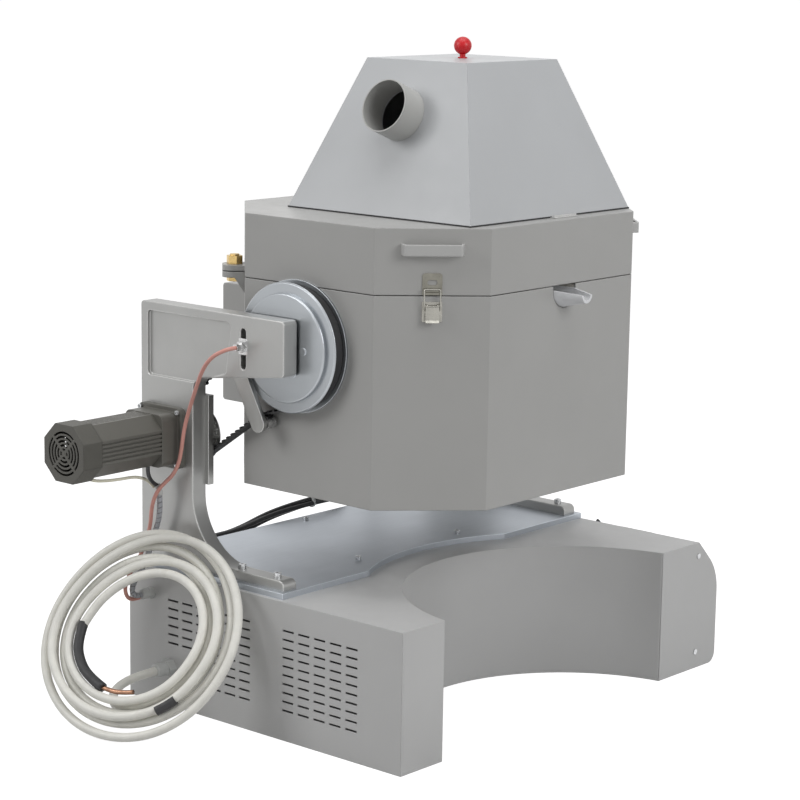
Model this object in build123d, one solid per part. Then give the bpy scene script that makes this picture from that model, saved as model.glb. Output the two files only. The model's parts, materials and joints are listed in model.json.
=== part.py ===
from build123d import *
import math
import os

# Tilting melting furnace. Millimetres, +Z up, X across the machine, -Y is the pouring side.
# The origin is on the floor, below the middle of the tilt axis.

# Cabinet
cabinet_left = -410
deck_right = 403
panel_run = 62
panel_drop = 62
panel_bend = 92
cabinet_depth = 624
cabinet_height = 235
sheet = 3
corner_round = 20
bay_x = -9
bay_radius = 304
bay_ahead = 52
panel_margin = 2
panel_end_margin = 20

# Vent slots in the left side panel: middle of the first slot, pitch and count of each field
slot_length = 25
slot_height = 3.5
slot_rows = 10
slot_row_pitch = 15
slot_top_row = 187
front_field_start = -205.5
front_field_pitch = 35
front_field_columns = 5
rear_field_start = 34
rear_field_pitch = 34
rear_field_columns = 6
short_columns = 3
short_column_rows = 6

# Screws of the end cover on the front of the right leg
cover_screw_x = 401
cover_screw_heights = (31, 210)
cover_screw_stand = 2

# Top plate
plate_thickness = 10
plate_side_margin = 8
plate_front = -45
plate_back = 305
plate_arc_radius = 368

# Cap screws: head radius and height, shank radius
small_screw = (5, 6, 3)
large_screw = (6.5, 8, 4)
spot_face_gap = 1
plate_screw_places = ((-147, 20), (116, 18), (-3, 280))

# Side brackets
bracket_inner = 362
bracket_thickness = 30
foot_front = -37
foot_height = 17
foot_screw_places = (-9, 72)
column_front = 175
bracket_back = 299
column_fillet = 112
arm_front = -34
arm_above_axis = 51
arm_front_below_axis = 40
arm_back_below_axis = 67.6
arm_corner = 7
pocket_depth = 6
pocket_front = 85
pocket_front_slant = 12
pocket_front_rise = 24
pocket_rim = 15
pocket_below_axis = 74
sensor_slot_y = 57
sensor_slot_width = 13
sensor_slot_below_axis = 38
sensor_slot_above_axis = 30

# Tilt axis
tilt_axis_height = 640
trunnion_radius = 12.5
bearing_radius = 26
bearing_width = 15
running_clearance = 0.05
shaft_end_gap = 0.5

# Furnace casing and lid: eight-sided, same plan
furnace_half_width = 322
furnace_depth = 550
furnace_y = -20
furnace_chamfer = 132
casing_below_axis = 249
casing_above_axis = 100
lid_gap = 1.5
lid_height = 108
lining_floor = 60
lining_top_drop = 3
seal_inset = 22
seal_width = 18
seal_clearance = 0.3

# Chamber, crucible and charging port share one upright axis
chamber_x = 3
chamber_y = -62
chamber_radius = 185
stand_height = 30
stand_radius = 68
crucible_top_radius = 112
crucible_bottom_radius = 78
crucible_wall = 16
crucible_top_drop = 5
crucible_notch_gap = 0.3
port_radius = 92
port_taper = 8

# Heating rods, in two pairs beside the crucible, and the thermocouple
heater_radius = 11
heater_spread = 150
heater_rises = (76, 196)
heater_reach = 73
heater_head_radius = 17
heater_head_length = 26
heater_bore_gap = 1
thermocouple_radius = 5
thermocouple_rise = 146
thermocouple_tip_gap = 12

# Terminal cover on the rear wall
terminal_half_width = 190
terminal_rise = 101
terminal_height = 208
terminal_depth = 55
terminal_sheet = 2
terminal_round = 6

# Pouring spout: a half-round trough, radius at the crucible, at the wall and at the lip,
# and how far its axis lies below the casing's rim there
spout_wall = 5
spout_start_y = -166
spout_radii = (31, 29, 13.5)
spout_drops = (5, 7, 12)
spout_reach = 47
spout_notch_gap = 1.5

# Belt drive: T-shaped teeth, counts and pitch in millimetres
belt_pitch = 12.7
wheel_teeth = 50
pulley_teeth = 22
belt_width = 19.5
belt_back = 2
belt_inside = 1
tooth_depth = 3
tooth_land = 4.6
tooth_flare = 2
tooth_gap = 0.3
belt_tooth_width = 4.4
belt_tooth_root = 0.5
belt_end_share = 0.26
belt_end_gap = 6
idler_end_gap = 4
belt_outer_x = -346.5
rim_radius = 110
rim_width = 4
front_flange_radius = 108
front_flange_width = 3
hub_radius = 90
hub_width = 7.5
hub_edge = 3
hub_screw_circle = 45
hub_screw_count = 6
hub_screw_radius = 6.5
hub_screw_stand = 2
right_flange_width = 12
right_boss_radius = 30
right_boss_gap = 4
pulley_y = 225
pulley_below_axis = 177
pulley_bore_margin = 5
belt_side_gap = 1
pulley_flange_radius = 48
pulley_flange_width = 1.5
output_shaft_radius = 7.5

# Belt tensioner: slanted plate on the left bracket with the idler roller at its low end
tensioner_top_y = 125
tensioner_top_rise = 0
idler_y = 54
idler_below_axis = 132
tensioner_width = 30
tensioner_thickness = 8
tensioner_screws = (0, 26)
tensioner_screw_radius = 5.2
tensioner_screw_height = 3
idler_radius = 12
idler_bore = 4
idler_side_gap = 0.3
idler_shoulder_radius = 7
idler_head_width = 1.7
idler_short = 1

# Gear motor
motor_plate_thickness = 12
motor_plate_below = 80
motor_plate_above = 73
motor_plate_ahead = 75
motor_plate_behind = 49
motor_plate_bore_gap = 1
motor_offset = (18, 4)
gear_flange = 104
gear_flange_thickness = 12
gear_box = 90
gear_box_length = 36
gear_corner = 12
gear_boss_radius = 29
motor_size = 88
motor_chamfer = 24
motor_length = 135
fin_groove = 3
fin_pitch = 7
fins_per_side = 5
fan_cover_size = 96
fan_cover_chamfer = 27
fan_cover_length = 41
fan_cover_wall = 2.5
grille_first = 7
grille_pitch = 7
grille_slot = 3.5
grille_rings = 5
grille_spoke = 5
fan_hub_radius = 11
fan_radius = 39
fan_blades = 7
fan_blade_thickness = 2
fan_width = 16
fan_gap = 5
fan_shaft_radius = 6
fan_shaft_depth = 20

# Proximity switch
sensor_radius = 6
sensor_tip_gap = 1.2
sensor_length = 50
sensor_nut_flats = 17
sensor_nut_height = 4
sensor_plate = (20, 27, 0.5)

# Hood, exhaust collar and knob
hood_bottom = (426, 400)
hood_top = (238, 217)
hood_x = 9
hood_y = -62
hood_height = 252
hood_gap = 0.3
hood_sheet = 2
collar_radius = 45
collar_bore = 43
collar_length = 50
collar_rise = 164
knob_radius = 15
knob_stem_radius = 5
knob_stem_height = 8
knob_sink = 2
knob_washer = (8, 2)

# Lid handles
handle_length = 101
handle_reach = 18.5
handle_bar = 4
handle_slant = 4
handle_drop = 42
handle_width = 18
handle_round = 6

# Toggle latches, measured on the chamfer: along it, up from the parting line and out of the wall
latch_half_width = 16
latch_plate = 1.5
latch_low = -41
latch_high = -9
lever_pivot = (-16, 5)
lever_pin_radius = 1.5
lever_half_width = 11
lever_cheek = 1.5
lever_web_out = 6
lever_lip = 3
lever_lip_height = 4
lever_cheek_foot = 2
lever_bail_reach = (3, 2.3)
ear_inner = 7.5
ear_thickness = 1.5
ear_radius = 3.6
cheek_radius = 3.1
bail_pivot = (-24, 7.5)
bail_wire = 1.25
bail_half_width = 13
bail_bar = (11.2, 4)
bail_bend = 1.3
keeper_low = 2
keeper_high = 37
keeper_slot = (8, 18, 26)
ledge_half_width = 10.5
ledge_heights = (6, 9.5)
ledge_reach = 4.5

# Lid pivot on the rear left chamfer
pivot_out = 17
pivot_reach = 38
lug_half_width = 25
lug_thickness = 9.5
pivot_bracket_thickness = 10
gusset_drop = 26
gusset_thickness = 5
pivot_bolt_radius = 8
pivot_nut_flats = 24
pivot_nut_height = 14
pivot_bolt_rise = 28
pivot_bolt_drop = 18

# Controls on the slanted panel: places along it
controller_place = -170
controller_size = (72, 36)
controller_bezel = 4
controller_depth = 60
controller_recess = 1.5
switch_place = -70
forward_button_place = 10
back_button_place = 60
stop_place = 150
button_radius = 11
button_rise = 8
button_round = 1.5
button_travel = 2.5
button_floor_gap = 0.7
stem_radius = 5
stem_depth = 12
bezel_outer = 14.5
bezel_height = 5
stop_radius = 16
stop_height = 12
stop_travel = 5
stop_stem_radius = 7
stop_bezel_outer = 14.5
switch_grip = (22, 6, 12)

# Power controller inside the cabinet
controller_box = (260, 150, 140)
controller_x = -150
controller_from_back = 142
heat_fin_count = 12
heat_fin_height = 25
heat_fin_thickness = 3

# Glands on the left panel: place (y, z), nut radius, dome radius, length
mains_gland_place = (210, 70)
mains_gland_sizes = (15, 12, 38)
signal_gland_place = (258, 192)
signal_gland_sizes = (11, 9, 24)
gland_stub_radius = 8
gland_stub_length = 15
power_gland_place = (-215, 170)
power_gland_sizes = (16, 14, 18)
cover_gland_sizes = (16, 14, 14)
cover_gland_aside = 163
cover_gland_out = 28

# Cables
mains_diameter = 15
lead_end_run = 24
signal_diameter = 5
wrap_diameter = 9
motor_lead_diameter = 7
power_bundle_diameter = 19

# Mains cable coil: leaning against the left panel; two layers, spiralling out and in again
coil_centre = (-522, 164, 156.5)
coil_turn = 15.3
coil_lean = 34
coil_turns = 6
coil_inner_radius = 120
coil_outer_radius = 179
coil_layer_step = 17
coil_start_angle = -117
coil_wobble = 2
sleeve_start = 5.68
sleeve_end = 5.88
sleeve_diameter = 17
tip_end = 5.97
tip_diameter = 8

cabinet_front = -cabinet_depth / 2
cabinet_back = cabinet_depth / 2
cabinet_right = deck_right + panel_run
deck = cabinet_height
plate_top = deck + plate_thickness
foot_top = plate_top + foot_height
bracket_outer = bracket_inner + bracket_thickness
arm_top = tilt_axis_height + arm_above_axis
casing_front = furnace_y - furnace_depth / 2
casing_back = furnace_y + furnace_depth / 2
casing_bottom = tilt_axis_height - casing_below_axis
casing_inside = casing_bottom + sheet
parting_height = tilt_axis_height + casing_above_axis
lid_bottom = parting_height + lid_gap
lid_top = parting_height + lid_height
hood_base = lid_top + hood_gap
hood_peak = hood_base + hood_height
collar_height = lid_top + collar_rise
chamber_floor = casing_inside + lining_floor
thermocouple_height = chamber_floor + thermocouple_rise
heater_tip_y = chamber_y - heater_reach
terminal_low = casing_bottom + terminal_rise
terminal_high = terminal_low + terminal_height
cover_gland_place = (chamber_x + cover_gland_aside, casing_back + cover_gland_out)
spout_heights = [parting_height - drop for drop in spout_drops]
handle_low = lid_top - handle_drop
tensioner_top = (tensioner_top_y, tilt_axis_height + tensioner_top_rise)
pulley_z = tilt_axis_height - pulley_below_axis
idler_place = (idler_y, tilt_axis_height - idler_below_axis)
controller_centre = (controller_x, cabinet_back - controller_from_back)
motor_y = pulley_y + motor_offset[0]
motor_z = pulley_z + motor_offset[1]
wheel_radius = wheel_teeth * belt_pitch / (2 * math.pi)
pulley_radius = pulley_teeth * belt_pitch / (2 * math.pi)
slope = math.hypot(panel_run, panel_drop)
bend_turn = math.atan2(panel_run, panel_drop)
panel_length = slope - panel_bend * math.tan(bend_turn / 2)
spout_x = chamber_x


def block(x, y, z):
    """Box between three pairs of limits."""
    size = [pair[1] - pair[0] for pair in (x, y, z)]
    middle = [(pair[0] + pair[1]) / 2 for pair in (x, y, z)]
    return Pos(*middle) * Box(*size)


def along_x(profile, start, end):
    """Extrude a profile drawn in Y and Z."""
    return extrude(Plane.YZ.offset(start) * profile, amount=end - start)


def along_y(profile, start, end):
    """Extrude a profile drawn in X and Z."""
    return extrude(Plane.XZ.offset(-start) * profile, amount=start - end)


def along_z(profile, start, end):
    """Extrude a profile drawn in X and Y."""
    return extrude(Plane.XY.offset(start) * profile, amount=end - start)


def polygon(points):
    return make_face(Polyline(*points, close=True))


def join(shapes):
    """Fuse shapes into one solid."""
    shapes = list(shapes)
    return shapes[0].fuse(*shapes[1:])


def apart(shapes):
    """Keep separate solids side by side in one node."""
    return Compound([solid for shape in shapes for solid in shape.solids()])


def octagon(inset, low, high):
    """Prism of the furnace's plan, drawn in by inset on every side."""
    across = 2 * (furnace_half_width - inset)
    deep = furnace_depth - 2 * inset
    corner = furnace_chamfer - inset * (2 - math.sqrt(2))
    plan = chamfer(Rectangle(across, deep).vertices(), corner)
    return along_z(Pos(0, furnace_y) * plan, low, high)


def corner_plane(side_x, side_y, height):
    """Plane on a chamfer of the furnace: x along it, y up, z out of the wall."""
    x = side_x * (furnace_half_width - furnace_chamfer / 2)
    y = furnace_y + side_y * (furnace_depth / 2 - furnace_chamfer / 2)
    out = Vector(side_x, side_y, 0).normalized()
    along = Vector(0, 0, 1).cross(out)
    return Plane(origin=(x, y, height), x_dir=along, z_dir=out)


def cap_screw(x, y, seat, sizes, depth):
    """Socket cap screw pointing down, its head on the seat."""
    head_radius, head_height, shank_radius = sizes
    body = along_z(Pos(x, y) * Circle(head_radius), seat, seat + head_height)
    body = fillet(body.edges().sort_by(Axis.Z)[-1], head_radius * 0.15)
    shank = along_z(Pos(x, y) * Circle(shank_radius), seat - depth, seat)
    hexagon = Pos(x, y) * RegularPolygon(head_radius * 0.5, 6)
    socket = along_z(hexagon, seat + head_height / 2, seat + head_height)
    return body + shank - socket


def gland(plane, sizes):
    """Cable gland on a wall: stub through the wall, hexagon and rounded dome."""
    nut_radius, dome_radius, length = sizes
    stub = extrude(plane * Circle(gland_stub_radius), amount=-gland_stub_length)
    nut = extrude(plane * RegularPolygon(nut_radius, 6), amount=length * 0.4)
    dome = extrude(plane.offset(length * 0.4) * Circle(dome_radius), amount=length * 0.6)
    tip = dome.faces().sort_by(Axis(plane.origin, plane.z_dir))[-1]
    dome = fillet(tip.edges(), dome_radius * 0.25)
    return stub + nut + dome


# Cabinet


def cabinet_section():
    """The cabinet's outline seen from the front."""
    outline = polygon([
        (cabinet_left, 0),
        (cabinet_left, deck),
        (deck_right, deck),
        (cabinet_right, deck - panel_drop),
        (cabinet_right, 0),
    ])
    right = outline.vertices().group_by(Axis.X)[-1].sort_by(Axis.Y)
    outline = fillet(right[0], corner_round)
    bend = outline.vertices().sort_by_distance((cabinet_right, deck - panel_drop))[0]
    return fillet(bend, panel_bend)


def bay(radius, low, high):
    """The round bay in front, where the mould stands."""
    return along_z(Pos(bay_x, cabinet_front - bay_ahead) * Circle(radius), low, high)


def panel_plane():
    """Plane of the slanted control face: x along the machine's depth, y up the slope."""
    share = panel_length / slope / 2
    middle = (deck_right + panel_run * share, 0, deck - panel_drop * share)
    return Plane(origin=middle, x_dir=(0, 1, 0), z_dir=(panel_drop, 0, panel_run))


def panel_space():
    """Space of the control panel's sheet in the slanted face."""
    length = cabinet_depth - 2 * panel_end_margin
    height = panel_length - 2 * panel_margin
    return extrude(panel_plane().offset(-sheet) * Rectangle(length, height), amount=sheet)


def cover_space():
    """Space of the end cover: the whole front wall of the right leg."""
    bay_edge = bay_x + math.sqrt(bay_radius ** 2 - bay_ahead ** 2)
    wall = along_y(cabinet_section(), cabinet_front, cabinet_front + sheet)
    leg = block((bay_edge, cabinet_right), (cabinet_front, cabinet_front + sheet), (sheet, deck))
    return (wall & leg) - bay(bay_radius, 0, deck)


def cabinet_shell():
    outer = along_y(cabinet_section(), cabinet_front, cabinet_back)
    outer -= bay(bay_radius, 0, deck)
    hollow_section = offset(cabinet_section(), -sheet, kind=Kind.INTERSECTION)
    hollow = along_y(hollow_section, cabinet_front + sheet, cabinet_back - sheet)
    hollow -= bay(bay_radius + sheet, 0, deck)
    shell = outer - hollow
    left_strip = block((cabinet_left, cabinet_left + sheet), (cabinet_front, cabinet_back), (0, deck))
    floor_edge = cabinet_right - corner_round
    floor_strip = block((cabinet_left, floor_edge), (cabinet_front, cabinet_back), (0, sheet))
    shell -= left_strip
    shell -= floor_strip
    shell -= panel_space()
    shell -= cover_space()
    gland_x, gland_z = power_gland_place
    shell -= along_y(Pos(gland_x, gland_z) * Circle(gland_stub_radius), cabinet_back - sheet, cabinet_back)
    return shell


def base_floor():
    floor = block(
        (cabinet_left + sheet, cabinet_right - corner_round), (cabinet_front, cabinet_back), (0, sheet))
    return floor - bay(bay_radius, 0, sheet)


def left_vent_panel():
    panel = block((cabinet_left, cabinet_left + sheet), (cabinet_front, cabinet_back), (0, deck))
    slots = []
    for row in range(slot_rows):
        height = slot_top_row - row * slot_row_pitch
        places = [front_field_start + column * front_field_pitch for column in range(front_field_columns)]
        for column in range(rear_field_columns):
            short = column >= rear_field_columns - short_columns
            if row < short_column_rows or not short:
                places.append(rear_field_start + column * rear_field_pitch)
        slots += [Pos(place, height) * Rectangle(slot_length, slot_height) for place in places]
    for place in (mains_gland_place, signal_gland_place):
        slots.append(Pos(*place) * Circle(gland_stub_radius))
    return panel - along_x(Sketch() + slots, cabinet_left, cabinet_left + sheet)


def right_end_cover():
    holes = Sketch() + [Pos(cover_screw_x, height) * Circle(small_screw[2]) for height in cover_screw_heights]
    return cover_space() - along_y(holes, cabinet_front, cabinet_front + sheet)


def top_plate():
    side = plate_side_margin
    plate = block((cabinet_left + side, deck_right), (plate_front, plate_back), (deck, plate_top))
    plate -= bay(plate_arc_radius, deck, plate_top)
    for x, y in plate_screw_places:
        plate -= along_z(Pos(x, y) * Circle(small_screw[2]), deck, plate_top)
    for side in (-1, 1):
        for y in foot_screw_places:
            x = side * (bracket_inner + bracket_thickness / 2)
            plate -= along_z(Pos(x, y) * Circle(large_screw[2]), deck, plate_top)
    return plate


def cap_screws():
    screws = [cap_screw(x, y, plate_top, small_screw, plate_thickness) for x, y in plate_screw_places]
    for side in (-1, 1):
        x = side * (bracket_inner + bracket_thickness / 2)
        for y in foot_screw_places:
            screws.append(cap_screw(x, y, foot_top, large_screw, foot_height + plate_thickness))
    radius = small_screw[0]
    for height in cover_screw_heights:
        place = Pos(cover_screw_x, height)
        head = along_y(place * Circle(radius), cabinet_front - cover_screw_stand, cabinet_front)
        shank = along_y(place * Circle(small_screw[2]), cabinet_front, cabinet_front + sheet)
        screws.append(head + shank)
    return apart(screws)


# Control panel


def control_panel():
    plane = panel_plane()
    panel = panel_space()
    bore = Circle(button_radius + running_clearance)
    for place in (forward_button_place, back_button_place, switch_place):
        panel += extrude(plane * Pos(place, 0) * Circle(bezel_outer), amount=bezel_height)
        panel -= extrude(plane * Pos(place, 0) * bore, amount=bezel_height)
        hole = Pos(place, 0) * Circle(stem_radius + running_clearance)
        panel -= extrude(plane.offset(-sheet) * hole, amount=sheet)
    panel += extrude(plane * Pos(stop_place, 0) * Circle(stop_bezel_outer), amount=bezel_height)
    hole = Pos(stop_place, 0) * Circle(stop_stem_radius + running_clearance)
    panel -= extrude(plane.offset(-sheet) * hole, amount=sheet + bezel_height)
    opening = Pos(controller_place, 0) * controller_inside()
    return panel - extrude(plane.offset(-sheet) * opening, amount=sheet)


def controller_inside():
    """The temperature controller's body within its bezel."""
    length, width = controller_size
    return Rectangle(length - 2 * controller_bezel, width - 2 * controller_bezel)


def push_button(place):
    plane = panel_plane()
    low = button_floor_gap + button_travel
    cap = extrude(plane.offset(low) * Pos(place, 0) * Circle(button_radius), amount=button_rise)
    top = cap.faces().sort_by(Axis(plane.origin, plane.z_dir))[-1]
    cap = fillet(top.edges(), button_round)
    stem = extrude(plane.offset(low) * Pos(place, 0) * Circle(stem_radius), amount=-low - stem_depth)
    return cap + stem


def power_switch():
    """Rotary mains switch with a raised grip."""
    plane = Plane(panel_plane() * Pos(switch_place, 0, button_floor_gap))
    length, width, height = switch_grip
    base = extrude(plane * Circle(button_radius), amount=bezel_height)
    grip = extrude(plane * Rot(0, 0, 90) * SlotOverall(length, width), amount=height)
    stem = extrude(plane * Circle(stem_radius), amount=-button_floor_gap - stem_depth)
    return base + grip + stem


def emergency_stop():
    low = bezel_height + stop_travel + button_floor_gap
    plane = Plane(panel_plane() * Pos(stop_place, 0, low))
    head = extrude(plane * Circle(stop_radius), amount=stop_height)
    top = head.faces().sort_by(Axis(plane.origin, plane.z_dir))[-1]
    head = fillet(top.edges(), stop_height * 0.6)
    stem = extrude(plane * Circle(stop_stem_radius), amount=-low - stem_depth)
    return head + stem


def temperature_controller():
    plane = Plane(panel_plane() * Pos(controller_place, 0))
    length, width = controller_size
    bezel = extrude(plane * Rectangle(length, width), amount=controller_bezel)
    body = extrude(plane * controller_inside(), amount=-controller_depth)
    screen = Pos(-length * 0.12, 0) * Rectangle(length * 0.5, width * 0.6)
    keys = [Pos(length * 0.32, step * width * 0.22) * Circle(width * 0.08) for step in (-1, 0, 1)]
    floor = plane.offset(controller_bezel - controller_recess)
    recess = extrude(floor * (Sketch() + [screen] + keys), amount=controller_recess)
    return bezel + body - recess


def power_controller():
    """Thyristor unit that feeds the heating rods, with its heat sink."""
    width, deep, height = controller_box
    x, y = controller_centre
    body = block((x - width / 2, x + width / 2), (y - deep / 2, y + deep / 2), (sheet, sheet + height))
    fins = []
    top = sheet + height
    for index in range(heat_fin_count):
        left = x - width / 2 + index * (width - heat_fin_thickness) / (heat_fin_count - 1)
        span = (left, left + heat_fin_thickness)
        fins.append(block(span, (y - deep / 2, y + deep / 2), (top, top + heat_fin_height)))
    return join([body] + fins)


# Brackets


def bracket_outline():
    """Foot, column and arm seen from the side."""
    under_front = tilt_axis_height - arm_front_below_axis
    under_back = tilt_axis_height - arm_back_below_axis
    outline = polygon([
        (foot_front, plate_top),
        (foot_front, foot_top),
        (column_front, foot_top),
        (column_front, under_back),
        (arm_front, under_front),
        (arm_front, arm_top),
        (bracket_back, arm_top),
        (bracket_back, plate_top),
    ])

    def near(y, z):
        return min(outline.vertices(), key=lambda v: (v.X - y) ** 2 + (v.Y - z) ** 2)

    outline = fillet(near(column_front, foot_top), column_fillet)
    outline = fillet(near(foot_front, foot_top), foot_height * 0.6)
    outline = fillet([near(arm_front, arm_top), near(arm_front, under_front)], arm_corner)
    outline = fillet(near(bracket_back, arm_top), arm_corner)
    return fillet(near(column_front, under_back), 3 * arm_corner)


def bracket(side):
    """Side bracket; side is -1 for the left one, which carries the drive, and 1 for the right one."""
    inner, outer = side * bracket_inner, side * bracket_outer
    low, high = min(inner, outer), max(inner, outer)
    body = along_x(bracket_outline(), low, high)
    pocket_bottom = tilt_axis_height - pocket_below_axis
    pocket = polygon([
        (pocket_front, arm_top - pocket_rim),
        (pocket_front + pocket_front_slant, pocket_bottom + pocket_front_rise),
        (column_front, pocket_bottom),
        (bracket_back - pocket_rim, pocket_bottom),
        (bracket_back - pocket_rim, arm_top - pocket_rim),
    ])
    pocket = fillet(pocket.vertices(), arm_corner)
    body -= along_x(pocket, outer - side * pocket_depth, outer)
    seat = Pos(0, tilt_axis_height) * Circle(bearing_radius)
    body -= along_x(seat, inner, inner + side * bearing_width)
    for y in foot_screw_places:
        place = Pos(side * (bracket_inner + bracket_thickness / 2), y)
        spot_face = Circle(large_screw[0] + spot_face_gap)
        body -= along_z(place * Circle(large_screw[2]), plate_top, foot_top)
        body -= along_z(place * spot_face, foot_top, foot_top + large_screw[1])
    if side < 0:
        slot_middle = tilt_axis_height + (sensor_slot_above_axis - sensor_slot_below_axis) / 2
        slot = SlotOverall(sensor_slot_above_axis + sensor_slot_below_axis, sensor_slot_width)
        body -= along_x(Pos(sensor_slot_y, slot_middle) * Rot(0, 0, 90) * slot, low, high)
        body -= along_x(Pos(pulley_y, pulley_z) * Circle(gear_boss_radius), low, high)
    return body


def trunnion_bearings():
    """Two ball bearings, each drawn as one ring with recessed shields."""
    rings = []
    half = bearing_width / 2
    shield = 1
    inner = trunnion_radius + running_clearance
    groove = (inner + 3, bearing_radius - 3.5)
    profile = polygon([
        (-half, inner),
        (-half, groove[0]),
        (-half + shield, groove[0]),
        (-half + shield, groove[1]),
        (-half, groove[1]),
        (-half, bearing_radius),
        (half, bearing_radius),
        (half, groove[1]),
        (half - shield, groove[1]),
        (half - shield, groove[0]),
        (half, groove[0]),
        (half, inner),
    ])
    ring = revolve(profile, Axis.X)
    for side in (-1, 1):
        rings.append(Pos(side * (bracket_inner + half), 0, tilt_axis_height) * ring)
    return apart(rings)


# Belt drive


def toothed_profile(teeth, radius):
    """Outline of a belt wheel whose pitch radius is given."""
    tip = radius - belt_inside - tooth_gap
    root = tip - tooth_depth
    step = 2 * math.pi / teeth
    land = tooth_land / tip
    foot = (tooth_land + tooth_flare) / root
    points = []
    for tooth in range(teeth):
        middle = tooth * step
        corners = (
            (middle - foot / 2, root),
            (middle - land / 2, tip),
            (middle + land / 2, tip),
            (middle + foot / 2, root),
        )
        for angle, reach in corners:
            points.append((reach * math.cos(angle), reach * math.sin(angle)))
    return polygon(points)


def belt_wheel():
    """Toothed wheel on the furnace's left wall, with a rim on each side of the belt."""
    wall = -furnace_half_width
    rim = along_x(Circle(rim_radius), wall - rim_width, wall)
    teeth_end = belt_outer_x - belt_side_gap
    teeth = along_x(toothed_profile(wheel_teeth, wheel_radius), teeth_end, wall - rim_width)
    flange = along_x(Circle(front_flange_radius), teeth_end - front_flange_width, teeth_end)
    flange = chamfer(flange.edges().sort_by(Axis.X)[0], front_flange_width * 0.8)
    return Pos(0, 0, tilt_axis_height) * join([rim, teeth, flange])


def left_trunnion():
    """Hub disc with the left stub shaft and its six screws in the wheel."""
    inner = belt_outer_x - belt_side_gap - front_flange_width
    outer = inner - hub_width
    disc = along_x(Circle(hub_radius), outer, inner)
    disc = fillet(disc.edges().sort_by(Axis.X)[0], hub_edge)
    shaft_end = -bracket_inner - bearing_width + shaft_end_gap
    shaft = along_x(Circle(trunnion_radius), shaft_end, outer)
    screws = Sketch() + PolarLocations(hub_screw_circle, hub_screw_count) * Circle(hub_screw_radius)
    heads = along_x(screws, outer - hub_screw_stand, outer)
    return Pos(0, 0, tilt_axis_height) * (disc + shaft + heads)


def right_trunnion():
    """Flange with a boss and the right stub shaft."""
    wall = furnace_half_width
    flange_end = wall + right_flange_width
    flange = along_x(Circle(hub_radius), wall, flange_end)
    flange = fillet(flange.edges().sort_by(Axis.X)[-1], hub_edge)
    boss_end = bracket_inner - right_boss_gap
    boss = along_x(Circle(right_boss_radius), flange_end, boss_end)
    shaft_end = bracket_inner + bearing_width - shaft_end_gap
    shaft = along_x(Circle(trunnion_radius), boss_end, shaft_end)
    return Pos(0, 0, tilt_axis_height) * (flange + boss + shaft)


def belt_stops():
    """Centre, radius and sense of each wheel that the belt runs over."""
    idler_line = idler_radius + tooth_gap + belt_back
    return [
        ((0, tilt_axis_height), wheel_radius, 1),
        (idler_place, idler_line, -1),
        ((pulley_y, pulley_z), pulley_radius, 1),
    ]


def belt_run(first, second, shift):
    """Tangent line from one belt stop to the next; shift moves it outwards. Gives its ends and its angle."""
    (y1, z1), r1, s1 = first
    (y2, z2), r2, s2 = second
    a1 = s1 * r1 + shift
    a2 = s2 * r2 + shift
    span = math.hypot(y2 - y1, z2 - z1)
    angle = math.atan2(z2 - z1, y2 - y1) - math.asin((a2 - a1) / span)
    left = (-math.sin(angle), math.cos(angle))
    start = (y1 - a1 * left[0], z1 - a1 * left[1])
    end = (y2 - a2 * left[0], z2 - a2 * left[1])
    return start, end, angle


def belt_face(shift):
    """Closed outline of the belt at a distance outside its pitch line."""
    stops = belt_stops()
    count = len(stops)
    runs = [belt_run(stops[i], stops[(i + 1) % count], shift) for i in range(count)]
    edges = []
    for i in range(count):
        start, end, angle = runs[i]
        edges.append(Line(start, end))
        (y, z), radius, sense = stops[(i + 1) % count]
        leave = runs[(i + 1) % count]
        turn = (leave[2] - angle) % (2 * math.pi)
        if sense < 0:
            turn -= 2 * math.pi
        middle = angle + turn / 2
        reach = sense * radius + shift
        waist = (y + reach * math.sin(middle), z - reach * math.cos(middle))
        edges.append(ThreePointArc(end, waist, leave[0]))
    return make_face(edges)


def belt_end(stop):
    """Length of a straight run that has no teeth beside a wheel, whose own teeth would meet them."""
    radius, sense = stop[1:]
    return belt_end_share * radius + belt_end_gap if sense > 0 else idler_end_gap


def tilt_belt():
    """Toothed belt: a closed band, with teeth on its straight runs, clear of the wheels."""
    outer_x = belt_outer_x
    band = along_x(belt_face(belt_back) - belt_face(-belt_inside), outer_x, outer_x + belt_width)
    stops = belt_stops()
    inward = belt_inside + (tooth_depth - belt_tooth_root) / 2
    shape = Rectangle(belt_tooth_width, tooth_depth + belt_tooth_root)
    teeth = []
    for first, second in zip(stops, stops[1:] + stops[:1]):
        start, end, angle = belt_run(first, second, 0)
        first_gap = belt_end(first)
        room = math.dist(start, end) - first_gap - belt_end(second)
        for tooth in range(int(room / belt_pitch) + 1):
            along = first_gap + tooth * belt_pitch
            y = start[0] + along * math.cos(angle) - inward * math.sin(angle)
            z = start[1] + along * math.sin(angle) + inward * math.cos(angle)
            teeth.append(Pos(y, z) * Rot(0, 0, math.degrees(angle)) * shape)
    return band + along_x(Sketch() + teeth, outer_x, outer_x + belt_width)


def drive_pulley():
    outer_x = belt_outer_x - belt_side_gap
    inner_x = belt_outer_x + belt_width + belt_side_gap
    teeth = along_x(toothed_profile(pulley_teeth, pulley_radius), outer_x, inner_x)
    flanges = [
        along_x(Circle(pulley_flange_radius), outer_x - pulley_flange_width, outer_x),
        along_x(Circle(pulley_flange_radius), inner_x, inner_x + pulley_flange_width),
    ]
    body = Pos(0, pulley_y, pulley_z) * join([teeth] + flanges)
    bore_circle = Pos(pulley_y, pulley_z) * Circle(output_shaft_radius)
    bore = along_x(bore_circle, outer_x - pulley_bore_margin, inner_x + pulley_bore_margin)
    return body - bore


def output_shaft():
    inner_x = belt_outer_x + belt_width + belt_side_gap + pulley_flange_width
    start = -bracket_outer - gear_flange_thickness
    return along_x(Pos(pulley_y, pulley_z) * Circle(output_shaft_radius), start, inner_x)


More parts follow.
